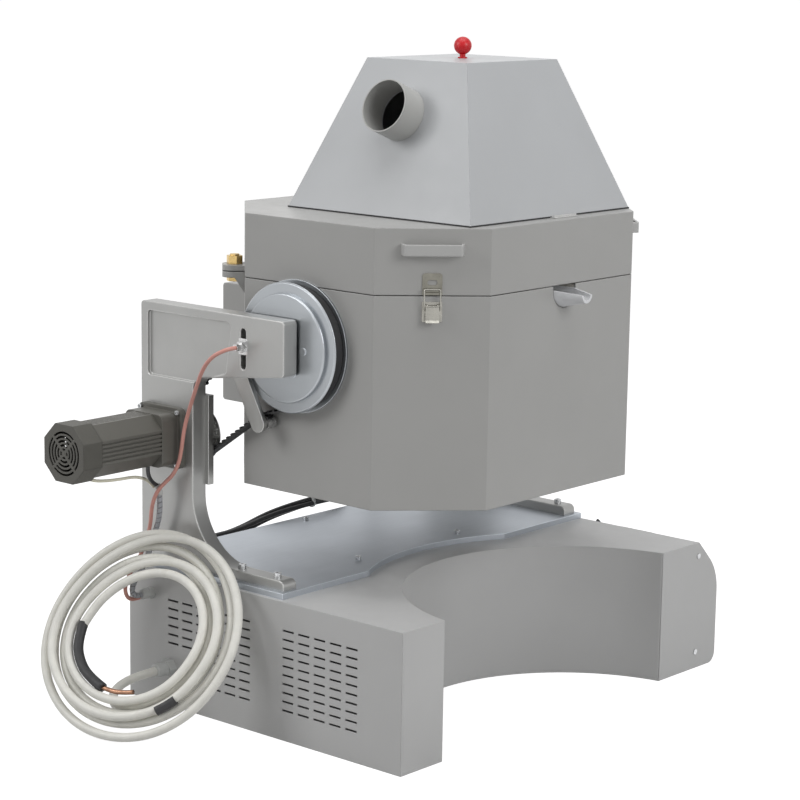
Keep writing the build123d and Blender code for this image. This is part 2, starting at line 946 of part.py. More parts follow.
def tensioner_plate():
    """Slanted plate on the left bracket, with its two screws and the idler's axle."""
    top_y, top_z = tensioner_top
    low_y, low_z = idler_place
    length = math.dist(tensioner_top, idler_place)
    angle = math.degrees(math.atan2(top_z - low_z, top_y - low_y))
    middle = Pos((top_y + low_y) / 2, (top_z + low_z) / 2)
    outline = middle * Rot(0, 0, angle) * SlotCenterToCenter(length, tensioner_width)
    start = -bracket_inner
    face = start + tensioner_thickness
    plate = along_x(outline, start, face)
    for step in tensioner_screws:
        y = top_y - step * math.cos(math.radians(angle))
        z = top_z - step * math.sin(math.radians(angle))
        plate += along_x(Pos(y, z) * Circle(tensioner_screw_radius), face, face + tensioner_screw_height)
    roller_start, roller_end = idler_span()
    centre = Pos(low_y, low_z)
    shoulder = along_x(centre * Circle(idler_shoulder_radius), face, roller_start - idler_side_gap)
    axle = along_x(centre * Circle(idler_bore), face, roller_end + idler_side_gap)
    head_start = roller_end + idler_side_gap
    head = along_x(centre * Circle(idler_shoulder_radius), head_start, head_start + idler_head_width)
    return join([plate, shoulder, axle, head])


def idler_span():
    return belt_outer_x, belt_outer_x + belt_width - idler_short


def idler_roller():
    start, end = idler_span()
    ring = Circle(idler_radius) - Circle(idler_bore + running_clearance)
    return along_x(Pos(*idler_place) * ring, start, end)


# Gear motor


def motor_plate():
    """Plate between the bracket and the drive pulley that stiffens the gearbox mounting."""
    plate = block(
        (-bracket_inner, -bracket_inner + motor_plate_thickness),
        (motor_y - motor_plate_ahead, motor_y + motor_plate_behind),
        (motor_z - motor_plate_below, motor_z + motor_plate_above))
    bore = Pos(pulley_y, pulley_z) * Circle(output_shaft_radius + motor_plate_bore_gap)
    return plate - along_x(bore, -bracket_inner, -bracket_inner + motor_plate_thickness)


def rounded_square(size, corner):
    return RectangleRounded(size, size, corner)


def gearbox():
    start = -bracket_outer - gear_flange_thickness
    centre = Pos(motor_y, motor_z)
    flange = along_x(centre * rounded_square(gear_flange, gear_corner), start, -bracket_outer)
    body = along_x(centre * rounded_square(gear_box, gear_corner), start - gear_box_length, start)
    boss = along_x(Pos(pulley_y, pulley_z) * Circle(gear_boss_radius), -bracket_outer, -bracket_inner)
    bore = along_x(
        Pos(pulley_y, pulley_z) * Circle(output_shaft_radius + running_clearance), start, -bracket_inner)
    return join([flange, body, boss]) - bore


def motor_span():
    end = -bracket_outer - gear_flange_thickness - gear_box_length
    return end - motor_length, end


def motor_body():
    """Finned motor housing with the fan shaft's bore at its outer end."""
    outer, inner = motor_span()
    outline = chamfer(Rectangle(motor_size, motor_size).vertices(), motor_chamfer)
    grooves = []
    for turn in range(4):
        for index in range(fins_per_side):
            across = (index - (fins_per_side - 1) / 2) * fin_pitch
            groove = Pos(motor_size / 2 - fin_groove / 2, across) * Rectangle(fin_groove, fin_groove)
            grooves.append(Rot(0, 0, 90 * turn) * groove)
    body = along_x(Pos(motor_y, motor_z) * (outline - grooves), outer, inner)
    bore = Pos(motor_y, motor_z) * Circle(fan_shaft_radius + running_clearance)
    return body - along_x(bore, outer, outer + fan_shaft_depth)


def fan_cover():
    """Eight-sided cover over the fan, its end pierced by rings of slots."""
    end = motor_span()[0]
    outer = end - fan_cover_length
    outline = chamfer(Rectangle(fan_cover_size, fan_cover_size).vertices(), fan_cover_chamfer)
    inside = offset(outline, -fan_cover_wall, kind=Kind.INTERSECTION)
    centre = Pos(motor_y, motor_z)
    cover = along_x(centre * outline, outer, end) - along_x(centre * inside, outer + fan_cover_wall, end)
    motor_outline = chamfer(Rectangle(motor_size, motor_size).vertices(), motor_chamfer)
    collar = along_x(centre * (inside - motor_outline), end - fan_cover_wall, end)
    rings = []
    for index in range(grille_rings):
        radius = grille_first + index * grille_pitch
        rings.append(Circle(radius + grille_slot / 2) - Circle(radius - grille_slot / 2))
    cross = Rectangle(fan_cover_size, grille_spoke) + Rectangle(grille_spoke, fan_cover_size)
    spokes = Rot(0, 0, 45) * cross
    slots = (Sketch() + rings) - spokes
    return cover + collar - along_x(centre * slots, outer, outer + fan_cover_wall)


def motor_fan():
    """Radial fan on its shaft stub."""
    end = motor_span()[0]
    start = end - fan_gap - fan_width
    hub = along_x(Circle(fan_hub_radius), start, start + fan_width)
    root = fan_hub_radius - fan_blade_thickness
    blade = Pos((root + fan_radius) / 2, 0) * Rectangle(fan_radius - root, fan_blade_thickness)
    blades = along_x(Sketch() + (PolarLocations(0, fan_blades) * blade), start, start + fan_width)
    shaft = along_x(Circle(fan_shaft_radius), start, end + fan_shaft_depth - shaft_end_gap)
    return Pos(0, motor_y, motor_z) * (hub + blades + shaft)


# Proximity switch


def proximity_sensor():
    """Threaded barrel through the arm's slot with its two lock nuts."""
    hub_face = belt_outer_x - belt_side_gap - front_flange_width - hub_width
    tip = hub_face - hub_screw_stand - sensor_tip_gap
    centre = Pos(sensor_slot_y, tilt_axis_height)
    barrel = along_x(centre * Circle(sensor_radius), tip - sensor_length, tip)
    width, height, thickness = sensor_plate
    plate = along_x(centre * Rectangle(width, height), -bracket_outer - thickness, -bracket_outer)
    hexagon = centre * RegularPolygon(sensor_nut_flats / 2, 6, major_radius=False)
    nuts = []
    for index in range(2):
        start = -bracket_outer - (index + 1) * (sensor_nut_height + thickness)
        nuts.append(along_x(hexagon, start, start + sensor_nut_height))
    return join([barrel, plate] + nuts)


# Furnace


def furnace_casing():
    """Eight-sided sheet shell, open at the top, with the spout's notch."""
    shell = octagon(0, casing_bottom, parting_height) - octagon(sheet, casing_inside, parting_height)
    notch_radius = spout_radii[1] + spout_notch_gap
    notch = Pos(spout_x, spout_heights[1]) * Circle(notch_radius)
    notch += Pos(spout_x, spout_heights[1] + notch_radius) * Rectangle(2 * notch_radius, 2 * notch_radius)
    shell -= along_y(notch, casing_front, casing_front + sheet)
    for x, z in heater_places():
        hole = Pos(x, z) * Circle(heater_radius + heater_bore_gap)
        shell -= along_y(hole, casing_back - sheet, casing_back)
    hole = Pos(chamber_x, thermocouple_height) * Circle(thermocouple_radius + heater_bore_gap)
    return shell - along_y(hole, casing_back - sheet, casing_back)


def heater_places():
    heights = [chamber_floor + rise for rise in heater_rises]
    return [(chamber_x + side * heater_spread, height) for side in (-1, 1) for height in heights]


def spout_solid(shrink):
    """The trough's outer form, or its channel when shrunk by the wall."""
    y_places = (spout_start_y, casing_front, casing_front - spout_reach)
    plane_steps = []
    for y, z, radius in zip(y_places, spout_heights, spout_radii):
        plane_steps.append(Plane.XZ.offset(-y) * Pos(spout_x, z) * Circle(radius - shrink))
    body = loft(plane_steps[:2]) + loft(plane_steps[1:])
    roof_height = spout_heights[0] + 2 * spout_radii[0]
    rim = list(zip(y_places, spout_heights))
    roof = polygon(rim + [(y_places[-1], roof_height), (y_places[0], roof_height)])
    half = spout_radii[0] + 1
    return body - along_x(roof, spout_x - half, spout_x + half)


def pouring_spout():
    """Half-round ceramic trough from the crucible's rim out through the casing's front wall."""
    return spout_solid(0) - spout_solid(spout_wall)


def casing_insulation():
    """Fibre lining with the round chamber, the spout's bed, the bores and the raised seal."""
    top = parting_height - lining_top_drop
    lining = octagon(sheet, casing_inside, top)
    seal = octagon(seal_inset, top, lid_bottom - seal_clearance)
    seal -= octagon(seal_inset + seal_width, top, lid_bottom - seal_clearance)
    lining += seal
    lining -= along_z(Pos(chamber_x, chamber_y) * Circle(chamber_radius), chamber_floor, lid_bottom)
    lining -= spout_solid(0)
    radius = spout_radii[0]
    lining -= block(
        (spout_x - radius, spout_x + radius), (casing_front, chamber_y), (spout_heights[2], lid_bottom))
    for x, z in heater_places():
        bore = Pos(x, z) * Circle(heater_radius + heater_bore_gap)
        lining -= along_y(bore, heater_tip_y, casing_back)
    bore = Pos(chamber_x, thermocouple_height) * Circle(thermocouple_radius + heater_bore_gap)
    return lining - along_y(bore, chamber_y, casing_back)


def crucible():
    """Tapered crucible with a rounded foot and a notch in its rim for the spout."""
    low = chamber_floor + stand_height
    top = parting_height - crucible_top_drop
    wall = crucible_wall
    outer = make_face([
        Line((0, low), (crucible_bottom_radius, low)),
        Line((crucible_bottom_radius, low), (crucible_top_radius, top)),
        Line((crucible_top_radius, top), (crucible_top_radius - wall, top)),
        Line((crucible_top_radius - wall, top), (crucible_bottom_radius - wall, low + wall)),
        Line((crucible_bottom_radius - wall, low + wall), (0, low + wall)),
        Line((0, low + wall), (0, low)),
    ])
    foot = outer.vertices().sort_by_distance((crucible_bottom_radius, low))[0]
    outer = fillet(foot, wall)
    hollow = outer.vertices().sort_by_distance((crucible_bottom_radius - wall, low + wall))[0]
    outer = fillet(hollow, 2 * wall)
    pot = revolve(Plane.XZ * outer, Axis.Z)
    notch = Pos(spout_x, spout_heights[0]) * Circle(spout_radii[0] + crucible_notch_gap)
    return Pos(chamber_x, chamber_y, 0) * pot - along_y(notch, casing_front, chamber_y)


def crucible_stand():
    disc = Pos(chamber_x, chamber_y) * Circle(stand_radius)
    stand = along_z(disc, chamber_floor, chamber_floor + stand_height)
    return chamfer(stand.edges().sort_by(Axis.Z)[-1], 4)


def heating_elements():
    """Rods with both terminals in the head outside the rear wall."""
    rods = []
    for x, z in heater_places():
        rod = along_y(Pos(x, z) * Circle(heater_radius), heater_tip_y + heater_radius / 2, casing_back)
        head = along_y(Pos(x, z) * Circle(heater_head_radius), casing_back, casing_back + heater_head_length)
        rods.append(rod + head)
    return apart(rods)


def thermocouple():
    tip = chamber_y + crucible_top_radius + thermocouple_tip_gap
    centre = Pos(chamber_x, thermocouple_height)
    sheath = along_y(centre * Circle(thermocouple_radius), tip, casing_back)
    head = along_y(centre * Circle(heater_head_radius * 0.7), casing_back, casing_back + heater_head_length)
    return sheath + head


def terminal_cover():
    """Sheet cover over the heating rods' terminals, open to the wall."""
    left, right = chamber_x - terminal_half_width, chamber_x + terminal_half_width
    back = casing_back + terminal_depth
    inner = terminal_sheet
    cover = block((left, right), (casing_back, back), (terminal_low, terminal_high))
    top_edges = cover.edges().filter_by(Axis.X).group_by(Axis.Y)[-1]
    cover = fillet(top_edges, terminal_round)
    cover -= block(
        (left + inner, right - inner),
        (casing_back, back - inner),
        (terminal_low + inner, terminal_high - inner))
    x, y = cover_gland_place
    return cover - along_z(Pos(x, y) * Circle(gland_stub_radius), terminal_low, terminal_low + inner)


# Lid


def lid_casing():
    """Eight-sided pan over the furnace with the charging port and the pivot lug."""
    top = lid_top - sheet
    pan = octagon(0, lid_bottom, lid_top) - octagon(sheet, lid_bottom, top)
    pan -= along_z(Pos(chamber_x, chamber_y) * Circle(port_radius), top, lid_top)
    return pan + pivot_plate(lid_bottom, lug_thickness, pivot_bolt_radius + running_clearance)


def lid_insulation():
    ring = octagon(sheet, lid_bottom, lid_top - sheet)
    cone = Pos(chamber_x, chamber_y, (lid_bottom + lid_top - sheet) / 2) * Cone(
        port_radius + port_taper, port_radius, lid_top - sheet - lid_bottom)
    return ring - cone


def pivot_plate(low, thickness, hole):
    """Plate standing out of the rear left chamfer round the pivot bolt."""
    plane = Plane(origin=corner_plane(-1, 1, low).origin, x_dir=(1, 1, 0), z_dir=(0, 0, 1))
    nose = pivot_reach - pivot_out
    outline = Pos(0, pivot_out / 2 - sheet / 2) * Rectangle(2 * lug_half_width, pivot_out + sheet)
    outline += Pos(0, pivot_out) * Rectangle(2 * lug_half_width, 2 * nose)
    outline = fillet(outline.vertices().group_by(Axis.Y)[-1], nose * 0.9)
    outline -= Pos(0, pivot_out) * Circle(hole)
    plate = extrude(plane * outline, amount=thickness)
    return plate - octagon(sheet, low, low + thickness)


def pivot_bracket():
    """Plate on two gussets on the casing that carries the pivot bolt."""
    low = parting_height - pivot_bracket_thickness
    plate = pivot_plate(low, pivot_bracket_thickness, pivot_bolt_radius) - octagon(0, low, parting_height)
    plane = corner_plane(-1, 1, low)
    gusset = polygon([(0, 0), (0, pivot_out), (-gusset_drop, 0)])
    start = lug_half_width - gusset_thickness
    ribs = [
        latch_profile(plane, gusset, start, lug_half_width),
        latch_profile(plane, gusset, -lug_half_width, -start),
    ]
    return join([plate] + ribs)


def pivot_bolt():
    """Pivot bolt with its low hexagon head and, apart from it, the nut above the lid's lug."""
    plane = corner_plane(-1, 1, 0)
    centre = plane.origin + plane.z_dir * pivot_out
    place = Pos(centre.X, centre.Y)
    low = parting_height - pivot_bracket_thickness
    hexagon = RegularPolygon(pivot_nut_flats / 2, 6, major_radius=False)
    head = along_z(place * hexagon, parting_height - pivot_bolt_drop, low)
    shank = along_z(place * Circle(pivot_bolt_radius), low, parting_height + pivot_bolt_rise)
    seat = lid_bottom + lug_thickness + seal_clearance
    nut = along_z(place * hexagon, seat, seat + pivot_nut_height)
    return join([head, shank, nut])


def lid_handles():
    """Two strap handles on the front chamfers of the lid."""
    half = handle_length / 2
    outer = polygon([
        (-half, 0),
        (-half + handle_slant, handle_reach),
        (half - handle_slant, handle_reach),
        (half, 0),
    ])
    outer = fillet(outer.vertices().group_by(Axis.Y)[-1], handle_round)
    inner_half = half - handle_bar
    reach = handle_reach - handle_bar
    slant = handle_slant * reach / handle_reach
    inner = polygon([
        (-inner_half, 0),
        (-inner_half + slant, reach),
        (inner_half - slant, reach),
        (inner_half, 0),
    ])
    inner = fillet(inner.vertices().group_by(Axis.Y)[-1], handle_round / 2)
    straps = []
    for side in (-1, 1):
        plane = corner_plane(side, -1, handle_low)
        flat = Plane(origin=plane.origin, x_dir=plane.x_dir * -1, z_dir=(0, 0, 1))
        straps.append(extrude(flat * (outer - inner), amount=handle_width))
    return apart(straps)


# Toggle latches


def latch_profile(plane, profile, start, end):
    """Extrude a profile drawn up the wall and out of it, along the chamfer."""
    side = Plane(origin=plane.origin, x_dir=plane.y_dir, z_dir=plane.x_dir)
    return extrude(side.offset(start) * profile, amount=end - start)


def latch_bases():
    """Base plate with two hinge ears, one latch on each front chamfer."""
    bases = []
    up, out = lever_pivot
    for side in (-1, 1):
        plane = corner_plane(side, -1, parting_height)
        sheet_middle = Pos((latch_low + latch_high) / 2, latch_plate / 2)
        plate_profile = sheet_middle * Rectangle(latch_high - latch_low, latch_plate)
        plate = latch_profile(plane, plate_profile, -latch_half_width, latch_half_width)
        ear = Pos(up, out) * Circle(ear_radius)
        ear += Pos(up, out / 2) * Rectangle(2 * ear_radius, out)
        ear -= Pos(up, out) * Circle(lever_pin_radius + running_clearance)
        ears = [
            latch_profile(plane, ear, ear_inner, ear_inner + ear_thickness),
            latch_profile(plane, ear, -ear_inner - ear_thickness, -ear_inner),
        ]
        bases.append(join([plate] + ears))
    return apart(bases)


def latch_lever(side):
    """Lever with two cheeks round its pin, a flat back and a lip for the thumb."""
    plane = corner_plane(side, -1, parting_height)
    up, out = lever_pivot
    web_out = out + lever_web_out
    web_in = web_out - lever_cheek
    foot = latch_low
    bend = foot + lever_lip_height
    web = polygon([
        (up, web_in), (up, web_out), (bend, web_out), (foot, web_out + lever_lip),
        (foot, web_in + lever_lip), (bend, web_in)])
    back = latch_profile(plane, web, -lever_half_width, lever_half_width)
    bail_up, bail_out = bail_pivot
    cheek = Pos(up, out) * Circle(cheek_radius)
    reach_up, reach_out = lever_bail_reach
    cheek_foot = bend + lever_cheek_foot
    cheek += polygon([
        (up, out + cheek_radius - 1),
        (up, web_in),
        (cheek_foot, web_in),
        (cheek_foot, web_in - 1),
        (bail_up - reach_up, bail_out - reach_out),
        (bail_up + reach_up, bail_out - reach_out),
    ])
    cheek -= Pos(bail_up, bail_out) * Circle(bail_wire + running_clearance)
    parts = [back]
    for start in (-lever_half_width, lever_half_width - lever_cheek):
        parts.append(latch_profile(plane, cheek, start, start + lever_cheek))
    pin = latch_profile(plane, Pos(up, out) * Circle(lever_pin_radius), -lever_half_width, lever_half_width)
    return join(parts + [pin])


def latch_bail(side):
    """Bent wire loop that hooks over the keeper's ledge."""
    plane = corner_plane(side, -1, parting_height)
    low, out = bail_pivot
    high, bar_out = bail_bar
    half = bail_half_width
    end = lever_half_width - lever_cheek
    points = [
        (-end, low, out), (-half, low, out), (-half, high, out), (-half, high, bar_out),
        (half, high, bar_out), (half, high, out), (half, low, out), (end, low, out),
    ]
    path = FilletPolyline(*[plane.from_local_coords(point) for point in points], radius=bail_bend)
    start = plane.from_local_coords(points[0])
    section = Plane(origin=start, z_dir=plane.x_dir * -1) * Circle(bail_wire)
    return sweep(section, path=path)


def latch_keepers():
    """Slotted plate on the lid with a low ledge for the bail."""
    keepers = []
    for side in (-1, 1):
        plane = corner_plane(side, -1, parting_height)
        outline = polygon([
            (-latch_half_width, keeper_low), (latch_half_width, keeper_low),
            (latch_half_width, keeper_high), (-latch_half_width, keeper_high)])
        outline = fillet(outline.vertices().group_by(Axis.Y)[-1], 5)
        half, slot_low, slot_high = keeper_slot
        outline -= Pos(0, (slot_low + slot_high) / 2) * SlotOverall(2 * half, slot_high - slot_low)
        keeper = extrude(plane * outline, amount=latch_plate)
        low, high = ledge_heights
        ledge = polygon([
            (low, latch_plate), (low + 1.5, ledge_reach), (high, ledge_reach), (high, latch_plate)])
        keepers.append(keeper + latch_profile(plane, ledge, -ledge_half_width, ledge_half_width))
    return apart(keepers)


# Hood


def hood_form(inset):
    """Tapered box of the hood, drawn in by inset at its sides and top."""
    planes = []
    for size, z in ((hood_bottom, hood_base), (hood_top, hood_peak - inset)):
        outline = Rectangle(size[0] - 2 * inset, size[1] - 2 * inset)
        planes.append(Plane.XY.offset(z) * Pos(hood_x, hood_y) * outline)
    return loft(planes)


def collar_axis():
    """Point on the hood's left face and the direction in which the exhaust leaves."""
    rise = hood_height
    inward = (hood_bottom[0] - hood_top[0]) / 2
    share = (collar_height - hood_base) / rise
    point = Vector(hood_x - hood_bottom[0] / 2 + inward * share, hood_y, collar_height)
    return point, Vector(-rise, 0, inward).normalized()


def collar_rod(radius, back):
    point, out = collar_axis()
    plane = Plane(origin=point - out * back, z_dir=out)
    return extrude(plane * Circle(radius), amount=back + collar_length)


def hood_shell():
    """Folded sheet hood, open below, with the collar's hole and the knob's hole."""
    shell = hood_form(0) - hood_form(hood_sheet)
    return shell - collar_rod(collar_bore, 4 * hood_sheet)


def exhaust_collar():
    return collar_rod(collar_radius, 0) - collar_rod(collar_bore, 0)


def hood_knob():
    """Ball knob on its stem."""
    place = Pos(hood_x, hood_y)
    washer_radius, washer_height = knob_washer
    ball = place * Pos(0, 0, hood_peak + knob_stem_height + knob_radius - knob_sink) * Sphere(knob_radius)
    stem = along_z(place * Circle(knob_stem_radius), hood_peak, hood_peak + knob_stem_height + knob_sink)
    washer = along_z(place * Circle(washer_radius), hood_peak, hood_peak + washer_height)
    return join([ball, stem, washer])


# Cables


def cable(name, points, diameter):
    """Tube along straight runs joined by the largest tangent arcs that the runs allow."""
    corners = [Vector(*point) for point in points]
    radii = []
    for before, here, after in zip(corners, corners[1:], corners[2:]):
        turn = math.radians((here - before).get_angle(after - here))
        shorter = min((here - before).length, (after - here).length)
        radii.append(0.45 * shorter / math.tan(turn / 2))
    path = FilletPolyline(*corners, radius=radii)
    section = Plane(origin=corners[0], z_dir=corners[1] - corners[0]) * Circle(diameter / 2)
    solid = sweep(section, path=path)
    length = path.length
    ratio = solid.volume / (math.pi * diameter ** 2 / 4 * length)
    print(f"{name}: length {length:.0f}, least radius {min(radii):.0f}, volume ratio {ratio:.4f}")
    return solid


coil_h = Vector(-math.sin(math.radians(coil_turn)), math.cos(math.radians(coil_turn)), 0)
coil_in = Vector(math.cos(math.radians(coil_turn)), math.sin(math.radians(coil_turn)), 0)
coil_s = Vector(0, 0, 1) * math.cos(math.radians(coil_lean)) + coil_in * math.sin(math.radians(coil_lean))
coil_out = coil_h.cross(coil_s) * -1


def coil_place(across, up, out):
    """Point in the coil's own leaning frame: across to the rear, up the slope, out towards the viewer."""
    return Vector(*coil_centre) + coil_h * across + coil_s * up + coil_out * out


def coil_point(turn):
    """Centre of the cable after a number of turns."""
    half = coil_turns / 2
    spread = coil_outer_radius - coil_inner_radius
    radius = coil_outer_radius - spread * abs(turn - half) / half
    radius += coil_wobble * math.sin(2.3 * turn)
    climb = min(max((turn - half + 0.25) / 0.5, 0), 1)
    out = coil_layer_step * climb * climb * (3 - 2 * climb)
    angle = math.radians(coil_start_angle - 360 * turn)
    return coil_place(radius * math.cos(angle), radius * math.sin(angle), out)


def coil_heading(turn):
    step = 0.002
    return (coil_point(turn + step) - coil_point(turn - step)).normalized()


def biarc(start, start_heading, end, end_heading):
    """Two tangent arcs from one point and heading to another."""
    chord = end - start
    total = start_heading + end_heading
    slack = 2 * (1 - start_heading.dot(end_heading))
    reach = (math.sqrt(chord.dot(total) ** 2 + slack * chord.dot(chord)) - chord.dot(total)) / slack
    joint = (start + start_heading * reach + end - end_heading * reach) * 0.5
    middle = (end - end_heading * reach) - (start + start_heading * reach)
    return [
        Edge.make_tangent_arc(start, start_heading, joint),
        Edge.make_tangent_arc(joint, middle.normalized(), end),
    ]


def coil_tube(first, last, diameter):
    """Unbroken tube along the coil from one turn count to another, in steps of about a quarter turn."""
    steps = max(1, round((last - first) * 4))
    turns = [first + (last - first) * step / steps for step in range(steps + 1)]
    edges = []
    for here, there in zip(turns, turns[1:]):
        edges += biarc(coil_point(here), coil_heading(here), coil_point(there), coil_heading(there))
    path = Wire(edges)
    section = Plane(origin=coil_point(first), z_dir=coil_heading(first)) * Circle(diameter / 2)
    return sweep(section, path=path), path.length


def coil_gap():
    """Least distance between the surfaces of the coil's turns."""
    count = coil_turns * 48
    points = [coil_point(step / 48) for step in range(count + 1)]
    least = 1e9
    for i, first in enumerate(points):
        for second in points[i + 24:]:
            least = min(least, (first - second).length)
    return least - mains_diameter


lead_points = [
    (cabinet_left - mains_gland_sizes[2], mains_gland_place[0], mains_gland_place[1]),
    (-478, 210, 70),
    (-510, 217, 64),
    (-546, 206, 57),
    (-569, 181, 47),
    (-581, 149, 50),
]

sensor_points = [
    (-411.2, 57, 640),
    (-424, 57, 640),
    (-434, 64, 636),
    (-440, 77, 628),
    (-440, 94, 613),
    (-434, 112, 594),
    (-425, 131, 570),
    (-416, 151, 542),
    (-410, 169, 512),
    (-409, 179, 482),
    (-410, 183, 454),
    (-412, 187, 430),
    (-415, 197, 409),
    (-416, 212, 394),
    (-416, 225, 386),
]

motor_lead_points = [
    (-447, 226, motor_z - motor_size / 2),
    (-447, 226, 412),
    (-441, 227, 400),
    (-431, 229, 391),
    (-420, 233, 385.5),
]

wrap_points = [
    (-417, 231, 380),
    (-416, 229, 354),
    (-414, 234, 326),
    (-413, 245, 300),
    (-414, 254, 276),
    (-420, 260, 250),
    (-432, 262, 230),
    (-447, 261, 216),
    (-455, 259, 203),
    (-448, 258, 192),
    (cabinet_left - signal_gland_sizes[2], signal_gland_place[0], signal_gland_place[1]),
]

power_points = [
    (power_gland_place[0], cabinet_back + power_gland_sizes[2], power_gland_place[1]),
    (-215, 367, 170),
    (-203, 397, 194),
    (-180, 403, 226),
    (-150, 385, 252),
    (-105, 352, 267),
    (-48, 322, 271),
    (22, 307, 270),
    (92, 311, 268),
    (155, 336, 258),
    (212, 372, 238),
    (262, 402, 222),
    (306, 421, 229),
    (334, 424, 259),
    (344, 418, 300),
    (336, 408, 342),
    (314, 392, 376),
    (284, 374, 396),
    (250, 350, 404),
]

tail_points = [
    (250, 350, 404),
    (222.8, 330.8, 410.4),
    (196, 309, 414),
    (176, 291, 430),
    (cover_gland_place[0], cover_gland_place[1], 452),
    (cover_gland_place[0], cover_gland_place[1], terminal_low - cover_gland_sizes[2]),
]


def cable_glands():
    """Glands on the cabinet for the mains cable, the signal cables and the power cables."""
    y, z = mains_gland_place
    mains = Plane(origin=(cabinet_left, y, z), x_dir=(0, 1, 0), z_dir=(-1, 0, 0))
    y, z = signal_gland_place
    signal = Plane(origin=(cabinet_left, y, z), x_dir=(0, 1, 0), z_dir=(-1, 0, 0))
    x, z = power_gland_place
    power = Plane(origin=(x, cabinet_back, z), x_dir=(1, 0, 0), z_dir=(0, 1, 0))
    return apart([
        gland(mains, mains_gland_sizes),
        gland(signal, signal_gland_sizes),
        gland(power, power_gland_sizes),
    ])


def cover_gland():
    """Gland under the terminal cover."""
    x, y = cover_gland_place
    return gland(Plane(origin=(x, y, terminal_low), x_dir=(1, 0, 0), z_dir=(0, 0, -1)), cover_gland_sizes)


def mains_coil():
    solid, length = coil_tube(0, sleeve_start, mains_diameter)
    print(f"mains coil: length {length:.0f}, least gap {coil_gap():.2f}")
    return solid


def mains_end():
    """Black sleeve at the cable's free end and the bare tip past it."""
    sleeve, sleeve_length = coil_tube(sleeve_start, sleeve_end, sleeve_diameter)
    tip, tip_length = coil_tube(sleeve_end, tip_end, tip_diameter)
    print(f"mains end: sleeve {sleeve_length:.0f}, tip {tip_length:.0f}")
    return apart([sleeve, tip])


def mains_lead():
    heading = coil_heading(0)
    start = coil_point(0)
    points = lead_points + [tuple(start - heading * lead_end_run), tuple(start)]
    return cable("mains lead", points, mains_diameter)


def signal_cables():
    """Sensor cable, motor lead and the wrapped bundle that both join."""
    return apart([
        cable("sensor cable", sensor_points, signal_diameter),
        cable("motor lead", motor_lead_points, motor_lead_diameter),
        cable("wrapped bundle", wrap_points, wrap_diameter),
    ])


nodes = {
    "base_floor": base_floor(),
    "cabinet_shell": cabinet_shell(),
    "left_vent_panel": left_vent_panel(),
    "right_end_cover": right_end_cover(),
    "top_plate": top_plate(),
    "cap_screws": cap_screws(),
    "control_panel": control_panel(),
    "tilt_forward_button": push_button(forward_button_place),
    "tilt_back_button": push_button(back_button_place),
    "power_switch": power_switch(),
    "emergency_stop": emergency_stop(),
    "temperature_controller": temperature_controller(),
    "power_controller": power_controller(),
    "left_bracket": bracket(-1),
    "right_bracket": bracket(1),
    "trunnion_bearings": trunnion_bearings(),
    "belt_wheel": belt_wheel(),
    "left_trunnion": left_trunnion(),
    "right_trunnion": right_trunnion(),
    "tilt_belt": tilt_belt(),
    "drive_pulley": drive_pulley(),
    "output_shaft": output_shaft(),
    "tensioner_plate": tensioner_plate(),
    "idler_roller": idler_roller(),
    "motor_plate": motor_plate(),
    "gearbox": gearbox(),
    "motor_body": motor_body(),
    "fan_cover": fan_cover(),
    "motor_fan": motor_fan(),
    "proximity_sensor": proximity_sensor(),
    "furnace_casing": furnace_casing(),
    "casing_insulation": casing_insulation(),
    "crucible": crucible(),
    "crucible_stand": crucible_stand(),
    "heating_elements": heating_elements(),
    "thermocouple": thermocouple(),
    "terminal_cover": terminal_cover(),
    "pouring_spout": pouring_spout(),
    "lid_casing": lid_casing(),
    "lid_insulation": lid_insulation(),
    "pivot_bracket": pivot_bracket(),
    "pivot_bolt": pivot_bolt(),
    "lid_handles": lid_handles(),
    "latch_bases": latch_bases(),
    "left_latch_lever": latch_lever(-1),
    "right_latch_lever": latch_lever(1),
    "left_latch_bail": latch_bail(-1),
    "right_latch_bail": latch_bail(1),
    "latch_keepers": latch_keepers(),
    "hood_shell": hood_shell(),
    "exhaust_collar": exhaust_collar(),
    "hood_knob": hood_knob(),
    "cable_glands": cable_glands(),
    "cover_gland": cover_gland(),
    "mains_lead": mains_lead(),
    "mains_coil": mains_coil(),
    "mains_end": mains_end(),
    "signal_cables": signal_cables(),
    "power_cables": cable("power cables", power_points, power_bundle_diameter),
    "power_cable_tail": cable("power tail", tail_points, power_bundle_diameter),
}

os.makedirs("parts", exist_ok=True)
for name, shape in nodes.items():
    export_step(shape, f"parts/{name}.step")
print(len(nodes), "nodes")
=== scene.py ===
"""Tilting melting furnace: finishes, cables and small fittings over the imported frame."""

import json
import logging
import math
from collections.abc import Callable
from dataclasses import dataclass
from enum import Enum

import bmesh
import bpy
from mathutils import Matrix, Vector

